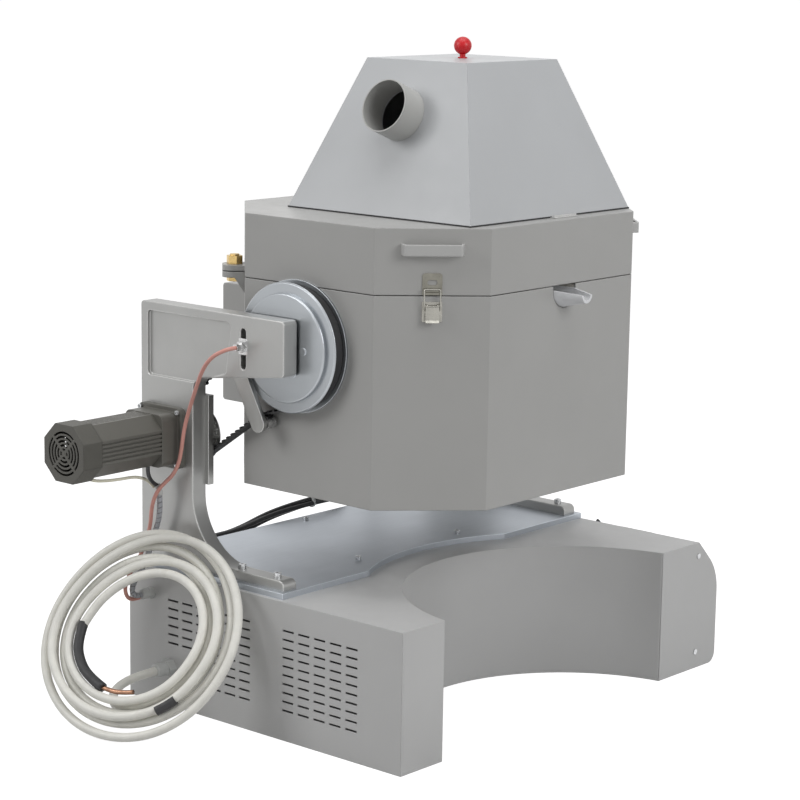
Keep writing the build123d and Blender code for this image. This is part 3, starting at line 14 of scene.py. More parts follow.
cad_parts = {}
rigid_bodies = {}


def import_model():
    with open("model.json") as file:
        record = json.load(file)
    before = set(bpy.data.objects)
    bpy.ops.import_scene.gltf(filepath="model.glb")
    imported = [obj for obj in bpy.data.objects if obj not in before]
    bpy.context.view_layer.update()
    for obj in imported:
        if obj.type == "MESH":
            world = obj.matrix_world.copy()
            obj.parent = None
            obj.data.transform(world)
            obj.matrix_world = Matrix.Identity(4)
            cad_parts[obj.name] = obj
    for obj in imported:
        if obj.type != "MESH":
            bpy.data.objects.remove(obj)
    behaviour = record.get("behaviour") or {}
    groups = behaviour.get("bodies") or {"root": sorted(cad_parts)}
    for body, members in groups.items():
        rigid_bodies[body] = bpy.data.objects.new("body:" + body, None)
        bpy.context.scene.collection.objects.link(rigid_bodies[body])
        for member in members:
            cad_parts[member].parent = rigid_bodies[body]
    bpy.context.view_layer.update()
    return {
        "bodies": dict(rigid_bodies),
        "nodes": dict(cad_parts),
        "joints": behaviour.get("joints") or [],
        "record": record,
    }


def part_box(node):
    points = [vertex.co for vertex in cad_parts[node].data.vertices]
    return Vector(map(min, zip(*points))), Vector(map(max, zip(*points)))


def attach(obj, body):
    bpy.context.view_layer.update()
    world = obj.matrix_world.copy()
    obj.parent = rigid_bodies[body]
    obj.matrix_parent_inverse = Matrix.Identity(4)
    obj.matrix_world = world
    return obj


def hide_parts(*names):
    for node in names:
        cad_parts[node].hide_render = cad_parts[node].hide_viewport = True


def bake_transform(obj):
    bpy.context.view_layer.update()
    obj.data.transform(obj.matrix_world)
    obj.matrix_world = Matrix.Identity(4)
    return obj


LOG = logging.getLogger("furnace")
MM = 0.001

Point = tuple[float, float, float]
Colour = tuple[float, float, float]
Span = tuple[float, float]
Socket = bpy.types.NodeSocket
Supply = Socket | Colour | Vector | float
Piece = bpy.types.Object

WHITE: Colour = (1.0, 1.0, 1.0)


class Axis(Enum):
    """The main directions of the frame."""

    X = (1.0, 0.0, 0.0)
    Y = (0.0, 1.0, 0.0)
    Z = (0.0, 0.0, 1.0)


class Body(Enum):
    """The bodies that the added pieces ride on."""

    ROOT = "root"
    FURNACE = "furnace"
    LID = "lid"
    HOOD = "hood"


class Slot(Enum):
    """The record's material slots, which the added pieces are handed but do not use."""

    SCREWS = "screw_steel"
    WHITE_CABLE = "white_cable"
    BLACK_CABLE = "black_cable"
    SIGNAL_CABLE = "signal_cable"
    PANEL = "panel_metal"
    GLAND = "gland_plastic"
    RUBBER = "belt_rubber"


@dataclass(frozen=True)
class Noise:
    """A noise pattern: patterns per metre, the same all ways or one number a direction."""

    scale: float | Point
    detail: float = 3.0
    rough: float = 0.55


class NodeBoard:
    """The node tree of one material or world, with short calls for what the finishes share."""

    mix_share, mix_below, mix_above, mix_result = 0, 6, 7, 2
    noise_from = 0.3
    noise_to = 0.7
    bevel_samples = 6
    # The painted edge highlight is full at the lower agreement and fades to none at the upper one.
    flat_agreement = 0.985
    highlight_agreement = 0.84

    def __init__(self, owner: bpy.types.Material | bpy.types.World, output: str) -> None:
        """Empties the node tree of a material or world and gives it that kind of output."""
        owner.use_nodes = True
        self.tree = owner.node_tree
        self.tree.nodes.clear()
        self.output = self.add(output)

    def feed(self, target: Socket, value: Supply) -> None:
        """Joins an input to a socket, or sets it to a colour, a vector or a number."""
        if isinstance(value, Socket):
            self.tree.links.new(value, target)
        elif isinstance(value, tuple):
            target.default_value = (*value, 1.0)
        else:
            target.default_value = value

    def add(self, kind: str, *values: Supply, **inputs: Supply) -> bpy.types.Node:
        """Adds a node of that kind and feeds its inputs in order or by name, with _ for a space."""
        node = self.tree.nodes.new(kind)
        for target, value in zip(node.inputs, values):
            self.feed(target, value)
        for name, value in inputs.items():
            self.feed(node.inputs[name.replace("_", " ")], value)
        return node

    def place(self) -> Socket:
        """Gives the object coordinates."""
        return self.add("ShaderNodeTexCoord").outputs["Object"]

    def noise(self, pattern: Noise) -> Socket:
        """Gives a noise pattern in object coordinates, which a Mapping node stretches if need be."""
        place, scale = self.place(), pattern.scale
        if isinstance(scale, tuple):
            place = self.add("ShaderNodeMapping", Vector=place, Scale=Vector(scale)).outputs["Vector"]
            scale = 1.0
        return self.add("ShaderNodeTexNoise", Vector=place, Scale=scale, Detail=pattern.detail,
                        Roughness=pattern.rough).outputs["Fac"]

    def spread(self, value: Socket, low: float, high: float, start: float = noise_from,
               end: float = noise_to) -> Socket:
        """Maps a pattern's range from start to end onto low to high and clamps it there."""
        return self.add("ShaderNodeMapRange", Value=value, From_Min=start, From_Max=end, To_Min=low,
                        To_Max=high).outputs["Result"]

    def maths(self, operation: str, first: Socket, second: Socket | float) -> Socket:
        """Works out one operation on two numbers.

        Args:
            operation: Blender's name of the operation.
            first: The first number.
            second: The second number.

        Returns:
            The result.
        """
        node = self.add("ShaderNodeMath", first, second)
        node.operation = operation
        return node.outputs[0]

    def blend(self, share: Socket, below: Socket | Colour, above: Colour) -> Socket:
        """Lays one colour over another.

        Args:
            share: How much of the upper colour shows, from 0 to 1.
            below: The lower colour, or a socket that has it.
            above: The upper colour.

        Returns:
            The blended colour.
        """
        mix = self.add("ShaderNodeMix")
        mix.data_type = "RGBA"
        self.feed(mix.inputs[self.mix_share], share)
        self.feed(mix.inputs[self.mix_below], below)
        self.feed(mix.inputs[self.mix_above], above)
        return mix.outputs[self.mix_result]

    def height(self) -> Socket:
        """Gives the height above the floor in metres."""
        return self.add("ShaderNodeSeparateXYZ", Vector=self.place()).outputs["Z"]

    def rounded(self, radius: float) -> Socket:
        """Gives normals that round the edges by that radius in metres."""
        rounding = self.add("ShaderNodeBevel", Radius=radius)
        rounding.samples = self.bevel_samples
        return rounding.outputs["Normal"]

    def highlight_edges(self, radius: float) -> Socket:
        """Finds the sharp edges for the painted highlight by how far a rounding turns the normal.

        Args:
            radius: The rounding's radius in metres.

        Returns:
            1 along the sharp edges and 0 on flat faces.
        """
        plain = self.add("ShaderNodeNewGeometry").outputs["Normal"]
        agreement = self.add("ShaderNodeVectorMath", self.rounded(radius), plain)
        agreement.operation = "DOT_PRODUCT"
        return self.spread(agreement.outputs["Value"], 1.0, 0.0, self.highlight_agreement, self.flat_agreement)

    def bump(self, pattern: Socket, depth: float, strength: float, edge: float) -> Socket:
        """Raises a pattern by a depth in metres, over edges rounded by a radius or, at 0, sharp."""
        raised = self.add("ShaderNodeBump", Height=pattern, Distance=depth, Strength=strength)
        if edge:
            self.feed(raised.inputs["Normal"], self.rounded(edge))
        return raised.outputs["Normal"]

    def seen_rays(self) -> Socket:
        """Gives 1 for camera, glossy and transmission rays and 0 for the others."""
        rays = self.add("ShaderNodeLightPath").outputs
        shiny = self.maths("MAXIMUM", rays["Is Camera Ray"], rays["Is Glossy Ray"])
        return self.maths("MAXIMUM", shiny, rays["Is Transmission Ray"])

    def end_in(self, shader: bpy.types.Node) -> None:
        """Ends the tree in a shader."""
        self.feed(self.output.inputs["Surface"], shader.outputs[0])


@dataclass(frozen=True)
class Finish:
    """What every finish has: a clouded colour with marks, a gloss that varies and a relief."""

    name: str
    colour: Colour
    roughness: float = 0.4
    gloss_range: Span = (0.0, 0.15)
    gloss: Noise | None = None
    clouds: Noise = Noise(60.0)
    dark: float = 0.93
    light: float = 1.03
    relief: Noise = Noise(400.0, 2.0)
    depth: float = 0.00001
    strength: float = 1.0
    edge: float = 0.0
    # The factor that lightens the sharp edges as a painted highlight; at 1 there is none.
    edge_highlight: float = 1.0
    metallic: float = 0.0
    coat: float = 0.0
    sheen: float = 0.0

    def shade_of(self, factor: float) -> Colour:
        """Gives the finish's colour made darker or lighter by a factor."""
        return tuple(min(1.0, c * factor) for c in self.colour)

    def marked(self, board: NodeBoard, colour: Socket) -> Socket:
        """Gives the colour with the finish's marks on it, which plain finishes don't have."""
        return colour

    def patterns(self, board: NodeBoard) -> tuple[Socket, Socket]:
        """Gives the patterns of the gloss, which may be the clouds' own, and of the relief."""
        return board.noise(self.gloss or self.clouds), board.noise(self.relief)

    def material(self) -> bpy.types.Material:
        """Builds the material, with a painted highlight that makes its sharp edges paler."""
        material = bpy.data.materials.new(self.name)
        board = NodeBoard(material, "ShaderNodeOutputMaterial")
        clouds = board.spread(board.noise(self.clouds), 0.0, 1.0)
        colour = board.blend(clouds, self.shade_of(self.dark), self.shade_of(self.light))
        colour = self.marked(board, colour)
        # Painted highlight: the sharp edges are lightened, standing in for the light that rounded edges
        # catch.
        if self.edge_highlight > 1:
            colour = board.blend(board.highlight_edges(self.edge), colour, self.shade_of(self.edge_highlight))
        gloss, relief = self.patterns(board)
        low, high = (self.roughness + change for change in self.gloss_range)
        board.end_in(board.add(
            "ShaderNodeBsdfPrincipled", Base_Color=colour,
            Roughness=board.spread(gloss, low, high), Metallic=self.metallic,
            Normal=board.bump(relief, self.depth, self.strength, self.edge),
            Coat_Weight=self.coat, Sheen_Weight=self.sheen))
        return material


@dataclass(frozen=True)
class PowderCoat(Finish):
    """Baked powder paint on folded sheet steel, with its fine orange peel."""

    roughness: float = 0.36
    gloss_range: Span = (-0.04, 0.05)
    gloss: Noise = Noise(38.0, 5.0)
    clouds: Noise = Noise(5.0, 4.0)
    dark: float = 0.965
    light: float = 1.02
    relief: Noise = Noise(520.0, 2.0, 0.5)
    depth: float = 0.00005
    edge: float = 0.0012
    # A faint painted highlight along the sheet's sharp edges.
    edge_highlight: float = 1.14
    specks: Noise = Noise(900.0, 2.0, 0.7)
    speck_limits: Span = (0.66, 0.74)
    speck_share: float = 0.35
    speck_shade: float = 0.82
    darker_below: float = 0.0
    darkening_share: float = 0.22
    darkening_factor: float = 0.78

    def marked(self, board: NodeBoard, colour: Socket) -> Socket:
        """Gives the colour with its specks, and darker towards the floor."""
        specks = board.spread(board.noise(self.specks), 0.0, self.speck_share, *self.speck_limits)
        colour = board.blend(specks, colour, self.shade_of(self.speck_shade))
        # The colour turns darker towards the floor, up to the given height.
        if self.darker_below > 0:
            lower_darkening = board.spread(board.height(), self.darkening_share, 0.0, 0.0, self.darker_below)
            colour = board.blend(lower_darkening, colour, self.shade_of(self.darkening_factor))
        return colour


@dataclass(frozen=True)
class MilledMetal(Finish):
    """Aluminium plate, milled one way and softly blasted."""

    roughness: float = 0.33
    gloss_range: Span = (-0.05, 0.07)
    clouds: Noise = Noise(9.0, 5.0)
    depth: float = 0.00002
    edge: float = 0.0014
    # A bright painted highlight along the machined edges.
    edge_highlight: float = 1.6
    metallic: float = 1.0
    along: Axis = Axis.X
    scale_along: float = 14.0
    scale_across: float = 900.0
    cut_detail: float = 3.0
    cut_rough: float = 0.6

    def patterns(self, board: NodeBoard) -> tuple[Socket, Socket]:
        """Gives the milling cuts, for the gloss and the relief alike."""
        scale = tuple(self.scale_along if part else self.scale_across for part in self.along.value)
        cuts = board.noise(Noise(scale, self.cut_detail, self.cut_rough))
        return cuts, cuts


@dataclass(frozen=True)
class PlatedSteel(Finish):
    """Plated steel or bare copper, a little cloudy, with worn darker patches."""

    roughness: float = 0.24
    gloss_range: Span = (-0.06, 0.14)
    gloss: Noise = Noise(300.0)
    clouds: Noise = Noise(90.0, 4.0)
    dark: float = 0.7
    light: float = 1.05
    edge: float = 0.0006
    metallic: float = 1.0


@dataclass(frozen=True)
class MouldedPlastic(Finish):
    """Injection-moulded plastic with a fine spark-eroded grain."""

    roughness: float = 0.38
    gloss_range: Span = (-0.05, 0.06)
    gloss: Noise = Noise(420.0, 2.0)
    dark: float = 0.92
    light: float = 1.05
    relief: Noise = Noise(1500.0, 2.0)
    depth: float = 0.00004
    strength: float = 0.8
    edge: float = 0.0007


@dataclass(frozen=True)
class CableJacket(Finish):
    """Extruded cable jacket: a dull sheen, handling marks and faint waves."""

    roughness: float = 0.45
    gloss_range: Span = (-0.07, 0.08)
    gloss: Noise = Noise(120.0)
    clouds: Noise = Noise(45.0, 4.0)
    relief: Noise = Noise(260.0)
    depth: float = 0.00012
    strength: float = 0.6
    sheen: float = 0.08
    marks: Colour = (0.45, 0.43, 0.39)
    marks_share: float = 0.3
    marks_limits: Span = (0.58, 0.75)
    smears: Noise = Noise(28.0, 6.0, 0.7)

    def marked(self, board: NodeBoard, colour: Socket) -> Socket:
        """Gives the colour with the smears that hands leave."""
        smears = board.spread(board.noise(self.smears), 0.0, self.marks_share, *self.marks_limits)
        return board.blend(smears, colour, self.marks)


@dataclass(frozen=True)
class GlazedCeramic(Finish):
    """Fired ceramic with a thin glaze."""

    roughness: float = 0.3
    clouds: Noise = Noise(35.0, 4.0)
    light: float = 1.04
    relief: Noise = Noise(240.0)
    depth: float = 0.00015
    strength: float = 0.8
    edge: float = 0.001
    coat: float = 0.25


CABINET_PAINT = PowderCoat("cabinet powder coat", (0.535, 0.535, 0.532), edge=0.0022, darker_below=0.12)
FURNACE_PAINT = PowderCoat("furnace powder coat", (0.400, 0.398, 0.388), edge=0.0026)
HOOD_PAINT = PowderCoat("hood powder coat", (0.480, 0.492, 0.505), edge=0.002)
# The handles get a stronger painted highlight along their sharp edges.
HANDLE_PAINT = PowderCoat("handle powder coat", (0.47, 0.47, 0.462), roughness=0.3, edge=0.003,
                          edge_highlight=1.5)
COLLAR_PAINT = PowderCoat("collar powder coat", (0.440, 0.440, 0.425))
# The motor enamel gets a stronger painted highlight along its sharp edges.
MOTOR_PAINT = PowderCoat("motor enamel", (0.120, 0.116, 0.102), edge=0.002, edge_highlight=1.4)
FAN_COVER_PLASTIC = MouldedPlastic("fan cover plastic", (0.082, 0.079, 0.068), roughness=0.55, edge=0.003)
DECK_METAL = MilledMetal("top plate aluminium", (0.48, 0.51, 0.55), roughness=0.46, depth=0.000006)
BRACKET_METAL = MilledMetal("bracket aluminium", (0.40, 0.40, 0.392), roughness=0.36, edge=0.004,
                            depth=0.000008, along=Axis.Z, metallic=0.6)
WHEEL_METAL = MilledMetal("wheel aluminium", (0.385, 0.405, 0.425), roughness=0.34, depth=0.000005,
                          along=Axis.Y)
PLATE_METAL = MilledMetal("drive plate aluminium", (0.42, 0.42, 0.41), roughness=0.38, along=Axis.Z)
PANEL_METAL = MilledMetal("control face aluminium", (0.60, 0.61, 0.62), roughness=0.27, along=Axis.Y)
DARK_METAL = MilledMetal("heat sink aluminium", (0.28, 0.28, 0.28), roughness=0.45)
SCREW_STEEL = PlatedSteel("screw zinc", (0.62, 0.63, 0.64))
BEARING_STEEL = PlatedSteel("bearing steel", (0.60, 0.60, 0.60), roughness=0.18, dark=0.8)
LATCH_STEEL = PlatedSteel("latch nickel", (0.38, 0.37, 0.335), roughness=0.27, dark=0.78,
                          clouds=Noise(60.0, 4.0))
KEEPER_STEEL = PlatedSteel("keeper nickel", (0.24, 0.232, 0.20), roughness=0.3, dark=0.75,
                           clouds=Noise(60.0, 4.0))
YELLOW_ZINC = PlatedSteel("yellow zinc", (0.72, 0.52, 0.22), roughness=0.26)
COPPER = PlatedSteel("bare copper", (0.34, 0.19, 0.125), roughness=0.3, dark=0.6)
# The belt's rubber is woven and dusty, the crucible dark and faintly metallic, the lining evenly matt.
BELT_RUBBER = Finish("belt rubber", (0.022, 0.022, 0.023), roughness=0.55, gloss_range=(0.0, 0.2),
                     clouds=Noise(70.0, 5.0, 0.65), dark=0.7, light=1.5, depth=0.00008, strength=0.7,
                     relief=Noise((150.0, 1500.0, 1500.0), 2.0, 0.5), edge=0.0004)
CRUCIBLE_GRAPHITE = Finish("clay graphite", (0.055, 0.055, 0.057), roughness=0.42,
                           gloss_range=(0.0, 0.18), clouds=Noise(60.0, 6.0, 0.7), dark=0.8, light=1.35,
                           relief=Noise(500.0, 4.0), depth=0.0002, strength=0.8, edge=0.0015,
                           metallic=0.35)
LINING = Finish("ceramic fibre", (0.74, 0.72, 0.67), roughness=0.95, gloss_range=(0.0, 0.0),
                clouds=Noise(20.0, 6.0, 0.65), dark=0.84, depth=0.0006, strength=0.9, sheen=0.1,
                relief=Noise((350.0, 350.0, 1200.0), 4.0, 0.7))
HEATER_CERAMIC = GlazedCeramic("heater ceramic", (0.62, 0.58, 0.52), roughness=0.5)
SPOUT_CERAMIC = GlazedCeramic("spout glaze", (0.78, 0.79, 0.81), roughness=0.28)
RED_KNOB = MouldedPlastic("red knob", (0.56, 0.002, 0.008), roughness=0.36)
GREEN_PLASTIC = MouldedPlastic("green button", (0.02, 0.24, 0.06), roughness=0.3)
YELLOW_PLASTIC = MouldedPlastic("yellow button", (0.62, 0.40, 0.02), roughness=0.3)
BLACK_PLASTIC = MouldedPlastic("black plastic", (0.022, 0.022, 0.023))
FAN_PLASTIC = MouldedPlastic("fan plastic", (0.020, 0.020, 0.020), roughness=0.7)
GLAND_PLASTIC = MouldedPlastic("gland polyamide", (0.60, 0.61, 0.60), roughness=0.42)
WHITE_CABLE = CableJacket("white jacket", (0.83, 0.82, 0.765), marks=(0.52, 0.49, 0.42))
BLACK_CABLE = CableJacket("black jacket", (0.020, 0.020, 0.022), marks=(0.09, 0.09, 0.09))
BLACK_SLEEVE = CableJacket("black sleeve", (0.018, 0.018, 0.020), roughness=0.55, marks=(0.06, 0.06, 0.06))
SENSOR_CABLE = CableJacket("sensor jacket", (0.68, 0.32, 0.27), marks=(0.50, 0.25, 0.21))
CREAM_WIRE = CableJacket("cream wire", (0.84, 0.81, 0.66))
WRAP_FILM = CableJacket("spiral wrap", (0.42, 0.43, 0.46), marks=(0.06, 0.06, 0.07), marks_share=0.9,
                        smears=Noise(240.0, 6.0, 0.7))
GREY_CORE = CableJacket("bundle core", (0.20, 0.20, 0.21), marks=(0.05, 0.05, 0.05))

NODE_FINISHES: dict[Finish, tuple[str, ...]] = {
    CABINET_PAINT: ("base_floor", "cabinet_shell", "left_vent_panel", "right_end_cover"),
    FURNACE_PAINT: ("furnace_casing", "terminal_cover", "lid_casing", "pivot_bracket"),
    HANDLE_PAINT: ("lid_handles",),
    HOOD_PAINT: ("hood_shell",),
    COLLAR_PAINT: ("exhaust_collar",),
    MOTOR_PAINT: ("gearbox", "motor_body"),
    FAN_COVER_PLASTIC: ("fan_cover",),
    DECK_METAL: ("top_plate",),
    BRACKET_METAL: ("left_bracket", "right_bracket"),
    WHEEL_METAL: ("belt_wheel", "left_trunnion", "right_trunnion"),
    PLATE_METAL: ("drive_pulley", "tensioner_plate", "motor_plate"),
    PANEL_METAL: ("control_panel",),
    DARK_METAL: ("power_controller",),
    SCREW_STEEL: ("cap_screws",),
    BEARING_STEEL: ("trunnion_bearings", "output_shaft", "idler_roller", "proximity_sensor"),
    LATCH_STEEL: ("latch_bases", "left_latch_lever", "right_latch_lever", "left_latch_bail",
                  "right_latch_bail"),
    KEEPER_STEEL: ("latch_keepers",),
    YELLOW_ZINC: ("pivot_bolt",),
    BELT_RUBBER: ("tilt_belt",),
    CRUCIBLE_GRAPHITE: ("crucible",),
    LINING: ("casing_insulation", "crucible_stand", "lid_insulation"),
    HEATER_CERAMIC: ("heating_elements", "thermocouple"),
    SPOUT_CERAMIC: ("pouring_spout",),
    RED_KNOB: ("hood_knob", "emergency_stop"),
    GREEN_PLASTIC: ("tilt_forward_button",),
    YELLOW_PLASTIC: ("tilt_back_button",),
    BLACK_PLASTIC: ("power_switch", "temperature_controller", "cover_gland"),
    FAN_PLASTIC: ("motor_fan",),
    GLAND_PLASTIC: ("cable_glands",),
}


def metres(points: tuple[Point, ...]) -> list[Vector]:
    """Turns points in millimetres into vectors in metres."""
    return [Vector(p) * MM for p in points]


def add_object(name: str, data: bpy.types.ID) -> Piece:
    """Adds an object with that data to the scene."""
    piece = bpy.data.objects.new(name, data)
    bpy.context.scene.collection.objects.link(piece)
    return piece


def soft_step(value: float) -> float:
    """Gives a step from 0 to 1 with soft ends, as the value goes from 0 to 1."""
    share = min(1.0, max(0.0, value))
    return share * share * (3 - 2 * share)


def length_of(line: list[Vector]) -> float:
    """Adds up the lengths of a line's steps."""
    return sum((b - a).length for a, b in zip(line, line[1:]))


def sides_along(line: list[Vector]) -> list[tuple[Vector, Vector]]:
    """Carries two directions square to a line along it, without twist.

    Args:
        line: The points of the line.

    Returns:
        The two directions at each point.
    """
    found = []
    side = Vector(Axis.Z.value)
    for index in range(len(line)):
        ahead = line[min(index + 1, len(line) - 1)]
        heading = (ahead - line[max(index - 1, 0)]).normalized()
        side = (side - heading * side.dot(heading)).normalized()
        found.append((side, heading.cross(side)))
    return found


def spoke(sides: tuple[Vector, Vector], angle: float) -> Vector:
    """Gives the direction at an angle between two directions."""
    return sides[0] * math.cos(angle) + sides[1] * math.sin(angle)


def skin(name: str, rings: list[list[Vector]], smooth: bool) -> Piece:
    """Skins rings of points into one closed piece.

    Args:
        name: The piece's name.
        rings: The rings in order, with the same number of points each.
        smooth: Whether the skin between the two flat ends is shaded smooth.

    Returns:
        The piece.
    """
    mesh = bmesh.new()
    rows = [[mesh.verts.new(point) for point in ring] for ring in rings]
    sides = len(rows[0])
    for low, high in zip(rows, rows[1:]):
        for step in range(sides):
            after = (step + 1) % sides
            mesh.faces.new((low[step], low[after], high[after], high[step])).smooth = smooth
    mesh.faces.new(list(reversed(rows[0])))
    mesh.faces.new(rows[-1])
    bmesh.ops.recalc_face_normals(mesh, faces=mesh.faces)
    data = bpy.data.meshes.new(name)
    mesh.to_mesh(data)
    mesh.free()
    return add_object(name, data)


def tube(name: str, line: list[Vector], diameter: float, sides: int, swell: float = 0.0) -> Piece:
    """Skins a round tube along a line.

    Args:
        name: The piece's name.
        line: The tube's centreline.
        diameter: Its diameter in metres.
        sides: The number of its sides.
        swell: By what share it is fuller in the middle.

    Returns:
        The piece.
    """
    rings = []
    for index, (point, directions) in enumerate(zip(line, sides_along(line))):
        reach = diameter / 2 * (1 + swell * math.sin(math.pi * index / (len(line) - 1)))
        rings.append([point + spoke(directions, math.tau * step / sides) * reach for step in range(sides)])
    return skin(name, rings, True)


class Workbench:
    """Shared ways to add, shape and place a piece with Blender's own tools."""

    spline_order = 3
    steps_shown = 8
    steps_read = 10
    facing_up = 0.9
    sharp_angle = math.radians(30.0)

    def __init__(self, frame: dict) -> None:
        """Takes the loaded frame and starts an empty store of materials."""
        self.frame = frame
        self.materials: dict[Finish, bpy.types.Material] = {}

    def paint(self, piece: Piece, finish: Finish) -> None:
        """Gives a piece that finish alone, whose material is built once."""
        if finish not in self.materials:
            self.materials[finish] = finish.material()
        piece.data.materials.clear()
        piece.data.materials.append(self.materials[finish])

    def dress(self, piece: Piece, finish: Finish, body: Body, slot: Slot) -> Piece:
        """Gives a settled piece its finish and the body it rides on.

        Args:
            piece: The piece.
            finish: Its finish.
            body: The body it rides on.
            slot: Not used.

        Returns:
            The same piece.
        """
        self.paint(piece, finish)
        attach(piece, body.value)
        LOG.info("piece %s rides on %s", piece.name, body.value)
        return piece

    def clear_selection(self) -> None:
        """Leaves edit mode and selects nothing."""
        if bpy.context.object and bpy.context.object.mode != "OBJECT":
            bpy.ops.object.mode_set(mode="OBJECT")
        bpy.ops.object.select_all(action="DESELECT")

    def take(self, *pieces: Piece) -> None:
        """Selects those pieces alone and makes the first active."""
        self.clear_selection()
        for piece in pieces:
            piece.select_set(True)
        bpy.context.view_layer.objects.active = pieces[0]

    def settle(self, piece: Piece) -> None:
        """Puts the piece's place, turn and scale into its mesh."""
        self.take(piece)
        bpy.ops.object.transform_apply(location=True, rotation=True, scale=True)

    def start_from(self, add: Callable[..., set], name: str, size: Vector, centre: Vector) -> Piece:
        """Adds a primitive with one of Blender's operators and settles it at its size.

        Args:
            add: The operator.
            name: The piece's name.
            size: Its size along X, Y and Z in metres.
            centre: Its middle.

        Returns:
            The piece.
        """
        self.clear_selection()
        add(size=1.0)
        piece = bpy.context.object
        piece.name = name
        piece.scale = size
        piece.location = centre
        self.settle(piece)
        return piece

    def open_top(self, piece: Piece) -> None:
        """Opens a piece in edit mode with the faces selected that look along its own Z.

        Args:
            piece: The piece.
        """
        self.take(piece)
        bpy.ops.object.mode_set(mode="EDIT")
        bpy.ops.mesh.select_all(action="DESELECT")
        mesh = bmesh.from_edit_mesh(piece.data)
        for face in mesh.faces:
            face.select = face.normal.z > self.facing_up
        bmesh.update_edit_mesh(piece.data)

    def push(self, way: Vector) -> None:
        """Extrudes the selected faces by a vector in metres."""
        bpy.ops.mesh.extrude_region_move(TRANSFORM_OT_translate={"value": tuple(way)})

    def soften(self, piece: Piece, width: float, segments: int = 2) -> None:
        """Bevels a piece's sharp edges and shades it smooth by angle.

        Args:
            piece: The piece.
            width: The bevel's width in metres.
            segments: The number of the bevel's faces across an edge.
        """
        bevel = piece.modifiers.new("edges", "BEVEL")
        bevel.width = width
        bevel.segments = segments
        bevel.angle_limit = self.sharp_angle
        self.take(piece)
        bpy.ops.object.modifier_apply(modifier=bevel.name)
        bpy.ops.object.shade_smooth_by_angle(angle=self.sharp_angle)

    def disc(self, name: str, radius: float, height: float, centre: Vector, axis: Vector,
             sides: int) -> Piece:
        """Adds a closed cylinder.

        Args:
            name: The piece's name.
            radius: Its radius in metres.
            height: Its height in metres.
            centre: Its middle.
            axis: The direction it stands along.
            sides: The number of its sides.

        Returns:
            The piece, not settled yet.
        """
        self.clear_selection()
        bpy.ops.mesh.primitive_cylinder_add(vertices=sides, radius=radius, depth=height)
        piece = bpy.context.object
        piece.name = name
        piece.matrix_world = Matrix.Translation(centre) @ axis.to_track_quat("Z", "Y").to_matrix().to_4x4()
        return piece

    def spline(self, name: str, points: list[Vector], steps: int) -> Piece:
        """Draws one smooth NURBS curve.

        Args:
            name: The curve's name.
            points: Its control points.
            steps: The steps between two of them.

        Returns:
            The curve object.
        """
        curve = bpy.data.curves.new(name, "CURVE")
        curve.dimensions = "3D"
        curve.resolution_u = steps
        spline = curve.splines.new("NURBS")
        spline.points.add(len(points) - 1)
        for knot, point in zip(spline.points, points):
            knot.co = (*point, 1.0)
        spline.order_u = self.spline_order
        spline.use_endpoint_u = True
        return add_object(name, curve)

    def line_of(self, points: list[Vector], steps: int = steps_read) -> list[Vector]:
        """Reads the smooth line that a NURBS spline makes of its control points.

        Args:
            points: The control points.
            steps: The steps between two of them.

        Returns:
            The points of the line.
        """
        reader = self.spline("line reader", points, steps)
        curve = reader.data
        bpy.context.view_layer.update()
        mesh = bpy.data.meshes.new_from_object(reader.evaluated_get(bpy.context.evaluated_depsgraph_get()))
        line = [v.co.copy() for v in mesh.vertices]
        bpy.data.objects.remove(reader)
        bpy.data.curves.remove(curve)
        bpy.data.meshes.remove(mesh)
        return line

    def route(self, name: str, points: list[Vector], diameter: float, roundness: int) -> Piece:
        """Lays a round cable along one smooth spline.

        Args:
            name: The piece's name.
            points: The route's control points in metres.
            diameter: The cable's diameter in metres.
            roundness: The bevel resolution of its section.

        Returns:
            The curve object, not dressed yet.
        """
        piece = self.spline(name, points, self.steps_shown)
        piece.data.bevel_depth = diameter / 2
        piece.data.bevel_resolution = roundness
        piece.data.use_fill_caps = True
        return piece


@dataclass
class Castings:
    """The finishes of every solid that the frame brings."""

    bench: Workbench

    def dress(self) -> None:
        """Gives each node its finish."""
        for finish, nodes in NODE_FINISHES.items():
            for name in nodes:
                self.bench.paint(self.bench.frame["nodes"][name], finish)
                LOG.info("node %s has %s", name, finish.name)


@dataclass(frozen=True)
class Cover:
    """A tube round a stretch of the coil: its name, turns, diameter in millimetres, sides, finish."""

    name: str
    start: float
    end: float
    diameter: float
    sides: int
    finish: Finish


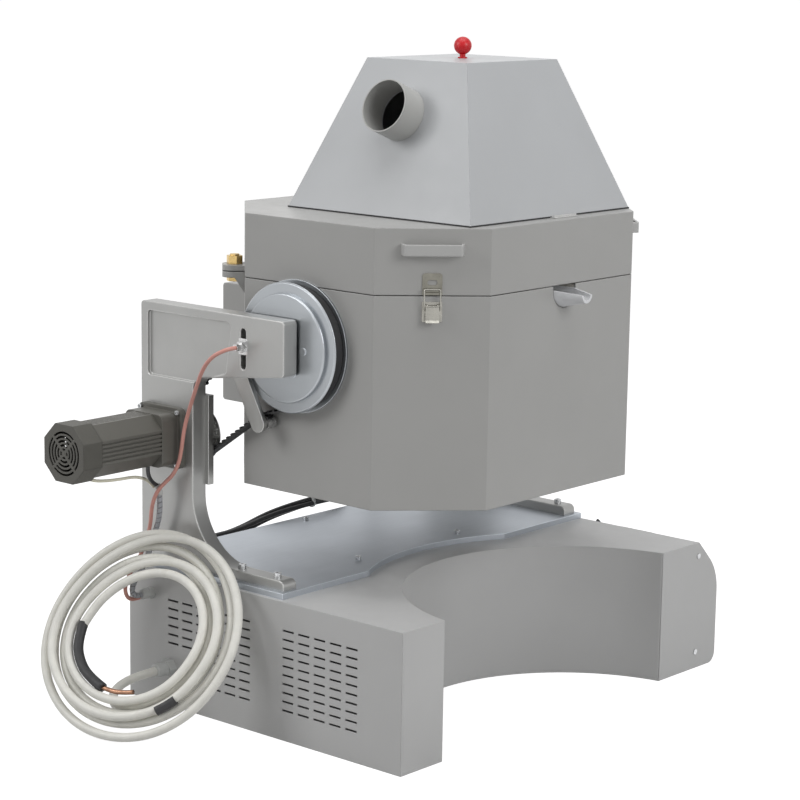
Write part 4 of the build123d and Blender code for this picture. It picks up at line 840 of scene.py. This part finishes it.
@dataclass
class MainsCord:
    """White mains cable: lead, leaning coil, a band of tape, black sleeve and bare copper tip."""

    bench: Workbench
    diameter: float = 15.0
    roundness: int = 5
    lead: tuple[Point, ...] = (
        (-448, 210, 70), (-478, 210, 70), (-510, 217, 64), (-546, 206, 57), (-569, 181, 47),
        (-581, 149, 50))
    lead_end_run: float = 24.0
    first_step: float = 0.01
    centre: Point = (-522, 164, 156.5)
    bearing: float = 15.3
    lean: float = 34.0
    turns: int = 6
    points_per_turn: int = 16
    least_points: int = 3
    inner_radius: float = 120.0
    outer_radius: float = 179.0
    layer_step: float = 17.0
    layer_change: float = 0.5
    start_angle: float = -117.0
    wobble: float = 1.5
    wobble_rate: float = 2.3
    ripple: float = 2.5
    ripple_rate: float = 2.4
    ripple_start: float = 1.0
    loosens_over: float = 0.5
    top_stretch: float = 0.10
    side_stretch: float = 0.045
    gather: float = 0.05
    drawn_in: float = 16.0
    drawn_in_last: float = 7.0
    front_slip: Span = (-14.0, -6.0)
    front_slip_ahead: float = 0.5
    front_slip_reach: float = 0.3
    back_slip: Span = (5.0, 4.0)
    back_slip_start: float = 0.4
    back_slip_grows: float = 0.6
    back_slip_ahead: float = 1.2
    cord_end: float = 5.68
    sleeve: Cover = Cover("mains_sleeve", 5.66, 5.88, 17.0, 20, BLACK_SLEEVE)
    tip: Cover = Cover("mains_tip", 5.87, 5.97, 8.0, 14, COPPER)
    tape: Cover = Cover("mains_tape", 4.015, 4.055, 16.8, 20, BLACK_SLEEVE)

    def plane(self) -> tuple[Vector, Vector, Vector]:
        """Gives the leaning coil's directions: across, up its slope and out of it."""
        bearing, lean = math.radians(self.bearing), math.radians(self.lean)
        across = Vector((-math.sin(bearing), math.cos(bearing), 0.0))
        inward = Vector((math.cos(bearing), math.sin(bearing), 0.0))
        slope = Vector(Axis.Z.value) * math.cos(lean) + inward * math.sin(lean)
        return across, slope, slope.cross(across)

    def winding_radius(self, turn: float, top: float) -> float:
        """Gives the radius in millimetres that the cord is wound to.

        Args:
            turn: The number of turns from the coil's start.
            top: How near the cord is to the top of its turn, from 0 to 1.

        Returns:
            The radius, which widens up to the middle turn and narrows after it.
        """
        middle = self.turns / 2
        past = turn - middle
        radius = self.outer_radius - (self.outer_radius - self.inner_radius) * abs(past) / middle
        radius += self.wobble * math.sin(self.wobble_rate * turn)
        radius -= self.drawn_in * soft_step(past) + self.drawn_in_last * soft_step(past - 1)
        return radius + self.ripple * math.sin(self.ripple_rate * turn + self.ripple_start) * top

    def coil_point(self, turn: float) -> Vector:
        """Finds a point of the coil's centreline.

        Args:
            turn: The number of turns from the coil's start.

        Returns:
            The point in metres.
        """
        past = turn - self.turns / 2
        angle = math.radians(self.start_angle - 360 * turn)
        level = math.sin(angle)
        loose = min(1.0, turn / self.loosens_over)
        top = max(0.0, level) * loose
        radius = self.winding_radius(turn, top)
        front = min(1.0, max(0.0, past + self.front_slip_ahead)) * max(0.0, level + self.front_slip_reach)
        back = soft_step((turn - self.back_slip_start) / self.back_slip_grows)
        back *= 1 - soft_step(past + self.back_slip_ahead)
        sideways = radius * math.cos(angle) * (1 + self.side_stretch * loose)
        sideways += self.front_slip[0] * front * loose + self.back_slip[0] * back
        upward = radius * level * (1 + self.top_stretch * top)
        upward -= self.gather * loose * (self.outer_radius - radius)
        upward += self.front_slip[1] * front + self.back_slip[1] * back
        outward = self.layer_step * soft_step(past / self.layer_change + 0.5)
        place = Vector(self.centre)
        for direction, reach in zip(self.plane(), (sideways, upward, outward)):
            place += direction * reach
        return place * MM

    def coil_stretch(self, start: float, end: float) -> list[Vector]:
        """Gives evenly spaced centreline points from one turn count to another."""
        count = max(self.least_points, round((end - start) * self.points_per_turn))
        return [self.coil_point(start + (end - start) * step / count) for step in range(count + 1)]

    def wrap(self, cover: Cover) -> Piece:
        """Skins a cover along its stretch of the coil."""
        line = self.bench.line_of(self.coil_stretch(cover.start, cover.end))
        piece = tube(cover.name, line, cover.diameter * MM, cover.sides)
        return self.bench.dress(piece, cover.finish, Body.ROOT, Slot.BLACK_CABLE)

    def build(self) -> None:
        """Lays the cord, then its sleeve, tip and tape."""
        start = self.coil_point(0.0)
        heading = (self.coil_point(self.first_step) - start).normalized()
        control = metres(self.lead)
        control.append(start - heading * self.lead_end_run * MM)
        control += self.coil_stretch(0.0, self.cord_end)
        cord = self.bench.route("mains_cord", control, self.diameter * MM, self.roundness)
        self.bench.dress(cord, WHITE_CABLE, Body.ROOT, Slot.WHITE_CABLE)
        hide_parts("mains_lead", "mains_coil")
        sleeve, tip, tape = (self.wrap(cover) for cover in (self.sleeve, self.tip, self.tape))
        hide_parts("mains_end")
        length = length_of(self.bench.line_of(control))
        LOG.info("mains cord %.3f m", length)


@dataclass(frozen=True)
class Lead:
    """One plain lead: its name, route and diameter in millimetres, jacket, slot and stiffness."""

    name: str
    points: tuple[Point, ...]
    diameter: float
    finish: Finish
    slot: Slot
    stiffness: str


@dataclass
class SignalWiring:
    """Sensor cable, motor lead, fan wire and the spiral-wrapped bundle that they join."""

    bench: Workbench
    roundness: int = 4
    sensor: Lead = Lead("sensor_cable", (
        (-411.2, 57, 640), (-424, 57, 640), (-434, 64, 636), (-440, 77, 628), (-440, 94, 613),
        (-434, 112, 594), (-425, 131, 570), (-416, 151, 542), (-410, 169, 512), (-409, 179, 482),
        (-410, 183, 454), (-412, 187, 430), (-415, 197, 409), (-419, 212, 394), (-425, 222, 382),
        (-429, 230, 365), (-426, 240, 343), (-422, 246, 317), (-422, 255, 291), (-426, 264, 264),
        (-438, 268, 243), (-454, 269, 225), (-464, 266, 206), (-460, 264, 191), (-447, 263, 185),
        (-430, 262, 187)), 6.8, SENSOR_CABLE, Slot.SIGNAL_CABLE, "medium")
    motor: Lead = Lead("motor_lead", (
        (-447, 226, 423), (-447, 226, 412), (-441, 227, 400), (-431, 229, 391), (-420, 233, 385.5)),
        7.0, BLACK_CABLE, Slot.BLACK_CABLE, "medium")
    fan: Lead = Lead("fan_wire", (
        (-574, 238, 421), (-560, 238, 414), (-530, 238, 409), (-497, 238, 407), (-466, 239, 406),
        (-444, 240, 400), (-429, 240, 391), (-421, 239, 381)), 5.4, CREAM_WIRE, Slot.WHITE_CABLE, "limp")
    bundle: tuple[Point, ...] = (
        (-417, 231, 380), (-416, 229, 354), (-414, 234, 326), (-413, 245, 300), (-414, 254, 276),
        (-420, 260, 250), (-432, 262, 230), (-447, 261, 216), (-455, 259, 203), (-448, 258, 192),
        (-434, 258, 192))
    bundle_diameter: float = 9.0
    core_share: float = 0.94
    wrap_pitch: float = 9.0
    wrap_band: float = 7.4
    wrap_section: tuple[Span, ...] = ((-1.0, 0.97), (-0.9, 1.08), (0.9, 1.08), (1.0, 0.97))
    wrap_steps: int = 14
    collar_overlap: float = 0.45
    collar_share: float = 1.24
    collar_swell: float = 0.06
    collar_sides: int = 20

    def lay(self, lead: Lead) -> Piece:
        """Lays a plain lead along its route."""
        piece = self.bench.route(lead.name, metres(lead.points), lead.diameter * MM, self.roundness)
        return self.bench.dress(piece, lead.finish, Body.ROOT, lead.slot)

    def declare(self, lead: Lead) -> None:
        """Works out the length of a plain lead's smooth line, which nothing keeps."""
        points = metres(lead.points)
        length_of(self.bench.line_of(points))

    def spiral_wrap(self, line: list[Vector]) -> Piece:
        """Winds a flat band round the bundle, closed along its length.

        Args:
            line: The bundle's smooth centreline.

        Returns:
            The dressed band.
        """
        travelled = [0.0]
        for a, b in zip(line, line[1:]):
            travelled.append(travelled[-1] + (b - a).length)
        total = travelled[-1]
        directions = sides_along(line)
        radius = self.bundle_diameter / 2 * MM
        samples = int(total / (self.wrap_pitch * MM) * self.wrap_steps)
        rings = []
        for sample in range(samples + 1):
            ring = []
            for offset, reach in self.wrap_section:
                along = total * sample / samples + offset * self.wrap_band / 2 * MM
                along = min(total, max(0.0, along))
                index = next(i for i, end in enumerate(travelled[1:]) if end >= along)
                share = (along - travelled[index]) / (travelled[index + 1] - travelled[index])
                out = spoke(directions[index], math.tau * sample / self.wrap_steps)
                ring.append(line[index].lerp(line[index + 1], share) + out * radius * reach)
            rings.append(ring)
        piece = skin("signal_wrap", rings, False)
        return self.bench.dress(piece, WRAP_FILM, Body.ROOT, Slot.SIGNAL_CABLE)

    def build(self) -> None:
        sensor = self.lay(self.sensor)
        motor = self.lay(self.motor)
        points = metres(self.bundle)
        core_diameter = self.bundle_diameter * MM * self.core_share
        bundle = self.bench.route("signal_bundle", points, core_diameter, self.roundness)
        self.bench.dress(bundle, GREY_CORE, Body.ROOT, Slot.SIGNAL_CABLE)
        line = self.bench.line_of(points)
        wrap = self.spiral_wrap(line)
        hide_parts("signal_cables")
        motor_end = metres(self.motor.points)[-1]
        collar_line = self.bench.line_of([
            motor_end, (motor_end + points[0]) / 2, points[0],
            points[0].lerp(points[1], self.collar_overlap)])
        collar = tube("bundle_collar", collar_line, self.bundle_diameter * self.collar_share * MM,
                      self.collar_sides, self.collar_swell)
        self.bench.dress(collar, GLAND_PLASTIC, Body.ROOT, Slot.GLAND)
        fan = self.lay(self.fan)
        for piece, lead in ((fan, self.fan), (sensor, self.sensor), (motor, self.motor)):
            self.declare(lead)


@dataclass
class PowerCables:
    """Three black power cables in one bundle, from the cabinet's rear to the terminal cover."""

    bench: Workbench
    strand_diameter: float = 9.0
    strand_count: int = 3
    strand_spread: float = 5.0
    strand_sides: int = 14
    lay_turns: float = 1.25
    line_steps: int = 6
    bundle: tuple[Point, ...] = (
        (-215, 330, 170), (-215, 367, 170), (-203, 396, 183), (-180, 402, 202), (-150, 384, 217),
        (-105, 352, 230), (-50, 327, 255), (20, 309, 267), (92, 311, 268), (155, 336, 258),
        (212, 372, 238), (262, 402, 222), (306, 421, 229), (334, 424, 259), (344, 418, 300),
        (336, 408, 342), (314, 392, 376), (284, 374, 396), (250, 350, 404))
    tail: tuple[Point, ...] = (
        (250, 350, 404), (222.8, 330.8, 410.4), (196, 309, 414), (176, 291, 430), (166, 283, 452),
        (166, 283, 478))
    tie_percents: tuple[int, ...] = (40, 62)
    tie_proud: float = 0.6
    tie_width: float = 4.5
    tie_edge: float = 0.8
    tie_sides: int = 32

    def outer(self) -> float:
        """Gives the bundle's outer diameter in metres."""
        return (self.strand_spread * 2 + self.strand_diameter) * MM

    def strands(self, name: str, line: list[Vector]) -> Piece:
        """Skins the strands side by side round one line and joins them.

        Args:
            name: The piece's name.
            line: The line they run round.

        Returns:
            The piece, not dressed yet.
        """
        directions = sides_along(line)
        parts = []
        for strand in range(self.strand_count):
            path = []
            for index, (point, pair) in enumerate(zip(line, directions)):
                angle = math.tau * (strand / self.strand_count + self.lay_turns * index / len(line))
                path.append(point + spoke(pair, angle) * self.strand_spread * MM)
            parts.append(tube("strand", path, self.strand_diameter * MM, self.strand_sides))
        self.bench.take(*parts)
        bpy.ops.object.join()
        parts[0].name = name
        return parts[0]

    def tie(self, line: list[Vector], percent: int) -> Piece:
        """Puts a cable tie round the bundle.

        Args:
            line: The bundle's centreline.
            percent: How far along the line the tie sits.

        Returns:
            The dressed tie.
        """
        index = round(percent / 100 * (len(line) - 1))
        heading = (line[index + 1] - line[index - 1]).normalized()
        tie = self.bench.disc("power_tie_%d" % percent, self.outer() / 2 + self.tie_proud * MM,
                              self.tie_width * MM, line[index], heading, self.tie_sides)
        self.bench.settle(tie)
        self.bench.soften(tie, self.tie_edge * MM)
        return self.bench.dress(tie, GLAND_PLASTIC, Body.ROOT, Slot.GLAND)

    def build(self) -> None:
        """Lays the long bundle, its ties and the tail up to the terminal cover."""
        line = self.bench.line_of(metres(self.bundle), self.line_steps)
        bundle = self.strands("power_bundle", line)
        self.bench.dress(bundle, BLACK_CABLE, Body.ROOT, Slot.BLACK_CABLE)
        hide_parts("power_cables")
        ties = [self.tie(line, percent) for percent in self.tie_percents]
        tail_line = self.bench.line_of(metres(self.tail), self.line_steps)
        tail = self.strands("power_tail", tail_line)
        self.bench.paint(tail, BLACK_CABLE)
        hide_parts("power_cable_tail")
        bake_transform(tail)
        LOG.info("piece %s bends between %s and %s", tail.name, Body.ROOT.value, Body.FURNACE.value)


@dataclass
class GearMotorFittings:
    """The four socket cap screws in the gearbox's flange."""

    bench: Workbench
    centre_y: float = 243.0
    centre_z: float = 467.0
    flange_outer_x: float = -404.0
    flange_half: float = 52.0
    screw_inset: float = 7.0
    screw_radius: float = 4.2
    screw_height: float = 4.5
    screw_sides: int = 24
    socket_wall: float = 0.45
    socket_lip: float = 0.001
    socket_depth: float = 0.55
    head_edge: float = 0.12

    def screw(self, name: str, foot: Vector) -> None:
        """Models a screw's head with its socket.

        Args:
            name: The piece's name.
            foot: The point of the flange that it stands on.
        """
        outward = -Vector(Axis.X.value)
        radius, height = self.screw_radius * MM, self.screw_height * MM
        piece = self.bench.disc(name, radius, height, foot + outward * height / 2, outward,
                                self.screw_sides)
        self.bench.open_top(piece)
        bpy.ops.mesh.inset(thickness=radius * self.socket_wall)
        bpy.ops.mesh.inset(thickness=radius * self.socket_lip)
        self.bench.push(-outward * height * self.socket_depth)
        bpy.ops.object.mode_set(mode="OBJECT")
        self.bench.settle(piece)
        self.bench.soften(piece, radius * self.head_edge)
        self.bench.dress(piece, SCREW_STEEL, Body.ROOT, Slot.SCREWS)

    def build(self) -> None:
        """Adds the four screw heads."""
        reach = self.flange_half - self.screw_inset
        corners = [(side, level) for side in (-reach, reach) for level in (-reach, reach)]
        for number, (side, level) in enumerate(corners, 1):
            foot = Vector((self.flange_outer_x, self.centre_y + side, self.centre_z + level)) * MM
            self.screw("gearbox_screw_%d" % number, foot)


@dataclass
class HoodFittings:
    """The clip on the lid at the hood's front, and a dark strip round the hood's foot that paints the
    shadow in the gap under it.
    """

    bench: Workbench
    clip_x: float = 32.0
    clip_length: float = 62.0
    clip_reach: float = 12.0
    clip_sheet: float = 1.5
    clip_border: float = 2.2
    clip_rise: float = 2.6
    clip_edge: float = 0.7
    # The dark strip below is painted shade for the gap under the hood.
    shadow_strip_proud: float = 0.5
    shadow_strip_width: float = 3.0
    shadow_strip_height: float = 2.2
    shadow_strip_edge: float = 0.3

    def clip(self) -> None:
        """Presses the clip from one strip that lies on the lid against the hood's front."""
        hood_low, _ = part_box("hood_shell")
        _, lid_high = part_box("lid_casing")
        size = Vector((self.clip_length, self.clip_reach, self.clip_sheet)) * MM
        centre = Vector((self.clip_x * MM, hood_low.y - size.y / 2, lid_high.z + size.z / 2))
        clip = self.bench.start_from(bpy.ops.mesh.primitive_cube_add, "hood_clip", size, centre)
        self.bench.open_top(clip)
        bpy.ops.mesh.inset(thickness=self.clip_border * MM)
        self.bench.push(Vector(Axis.Z.value) * self.clip_rise * MM)
        bpy.ops.object.mode_set(mode="OBJECT")
        self.bench.soften(clip, self.clip_edge * MM)
        self.bench.dress(clip, HANDLE_PAINT, Body.LID, Slot.PANEL)

    def shadow_strip(self) -> None:
        """Frames the hood's foot with a thin dark strip that follows its four edges, as painted shade in
        the gap under the hood.
        """
        low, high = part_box("hood_shell")
        proud = self.shadow_strip_proud * MM
        size = Vector((high.x - low.x + 2 * proud, high.y - low.y + 2 * proud, 1.0))
        centre = Vector(((low.x + high.x) / 2, (low.y + high.y) / 2, low.z))
        shadow_strip = self.bench.start_from(bpy.ops.mesh.primitive_plane_add, "hood_shadow_strip", size, centre)
        bpy.ops.object.mode_set(mode="EDIT")
        bpy.ops.mesh.select_all(action="SELECT")
        bpy.ops.mesh.inset(thickness=self.shadow_strip_width * MM)
        bpy.ops.mesh.delete(type="FACE")
        bpy.ops.mesh.select_all(action="SELECT")
        self.bench.push(Vector(Axis.Z.value) * self.shadow_strip_height * MM)
        bpy.ops.mesh.select_all(action="SELECT")
        bpy.ops.mesh.normals_make_consistent(inside=False)
        bpy.ops.object.mode_set(mode="OBJECT")
        self.bench.soften(shadow_strip, self.shadow_strip_edge * MM, 1)
        # Dark rubber stands in for the shadow in the gap under the hood: painted shade.
        self.bench.dress(shadow_strip, BELT_RUBBER, Body.HOOD, Slot.RUBBER)

    def build(self) -> None:
        """Adds the clip and the dark strip of painted shade."""
        self.clip()
        self.shadow_strip()


@dataclass(frozen=True)
class Lamp:
    """One square soft lamp: its place, the point it looks at, its side and its power."""

    name: str
    place: Point
    target: Point
    size: float
    power: float

    def hang(self) -> None:
        """Adds the lamp to the scene."""
        data = bpy.data.lights.new(self.name, "AREA")
        data.shape = "SQUARE"
        data.size = self.size
        data.energy = self.power
        turn = (Vector(self.target) - Vector(self.place)).to_track_quat("-Z", "Y")
        lamp = add_object(self.name, data)
        lamp.matrix_world = Matrix.Translation(self.place) @ turn.to_matrix().to_4x4()


@dataclass
class Studio:
    """White floor and surround, soft lamps and the camera at the photograph's angle."""

    bench: Workbench
    camera_place: Point = (-3.190, -2.718, 1.303)
    azimuth: float = -48.97
    elevation: float = 10.76
    roll: float = 0.885
    lens: float = 110.2
    sensor: float = 36.0
    sight: Span = (0.05, 200.0)
    floor_size: float = 120.0
    floor_grain: Noise = Noise(3.0)
    floor_albedo: float = 0.5
    floor_variation: float = 1.01
    floor_glow: float = 0.87
    sky_light: float = 0.29
    lamps: tuple[Lamp, ...] = (
        Lamp("overhead lamp", (-0.3, -0.2, 3.4), (0.0, 0.0, 0.5), 2.4, 38.0),
        Lamp("front lamp", (-0.1, -3.5, 2.2), (0.0, 0.0, 0.6), 1.6, 47.0),
        Lamp("left lamp", (-2.9, 1.5, 2.4), (0.0, 0.0, 0.6), 1.6, 38.0))

    def camera(self) -> None:
        """Places the camera."""
        a, e, r = (math.radians(v) for v in (self.azimuth, self.elevation, self.roll))
        back = Vector((math.sin(a) * math.cos(e), -math.cos(a) * math.cos(e), math.sin(e)))
        right = Vector((math.cos(a), math.sin(a), 0.0))
        up = back.cross(right)
        turned_right = right * math.cos(r) + up * math.sin(r)
        turned_up = -right * math.sin(r) + up * math.cos(r)
        data = bpy.data.cameras.new("camera")
        data.lens = self.lens
        data.sensor_width = self.sensor
        data.clip_start, data.clip_end = self.sight
        camera = add_object("camera", data)
        turn = Matrix((turned_right, turned_up, back)).transposed().to_4x4()
        camera.matrix_world = Matrix.Translation(self.camera_place) @ turn
        bpy.context.scene.camera = camera

    def floor(self) -> None:
        """Lays the pale floor, which shows white but keeps the shadow."""
        self.bench.clear_selection()
        bpy.ops.mesh.primitive_plane_add(size=self.floor_size, location=(0.0, 0.0, 0.0))
        floor = bpy.context.object
        floor.name = "floor"
        material = bpy.data.materials.new("studio floor")
        board = NodeBoard(material, "ShaderNodeOutputMaterial")
        pale = (self.floor_albedo,) * 3
        paler = (self.floor_albedo * self.floor_variation,) * 3
        grain = board.spread(board.noise(self.floor_grain), 0.0, 1.0)
        matt = board.add("ShaderNodeBsdfDiffuse", Color=board.blend(grain, pale, paler))
        strength = board.maths("MULTIPLY", board.seen_rays(), self.floor_glow)
        glow = board.add("ShaderNodeEmission", Strength=strength)
        board.end_in(board.add("ShaderNodeAddShader", matt.outputs[0], glow.outputs[0]))
        floor.data.materials.append(material)

    def surround(self) -> None:
        """Makes the world white to the eye and dimmer as a light."""
        world = bpy.data.worlds.new("surround")
        bpy.context.scene.world = world
        board = NodeBoard(world, "ShaderNodeOutputWorld")
        light = board.add("ShaderNodeBackground", Color=WHITE, Strength=self.sky_light)
        backdrop = board.add("ShaderNodeBackground", Color=WHITE)
        board.end_in(board.add(
            "ShaderNodeMixShader", board.seen_rays(), light.outputs[0], backdrop.outputs[0]))

    def build(self) -> None:
        """Builds the whole studio."""
        bpy.context.scene.view_settings.view_transform = "Standard"
        self.camera()
        self.floor()
        self.surround()
        for lamp in self.lamps:
            lamp.hang()


def main() -> None:
    """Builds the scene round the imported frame."""
    logging.basicConfig(level=logging.INFO, format="%(name)s: %(message)s")
    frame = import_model()
    bench = Workbench(frame)
    Studio(bench).build()
    MainsCord(bench).build()
    SignalWiring(bench).build()
    PowerCables(bench).build()
    Castings(bench).dress()
    GearMotorFittings(bench).build()
    HoodFittings(bench).build()
    bpy.context.view_layer.update()


if __name__ == "__main__":
    main()
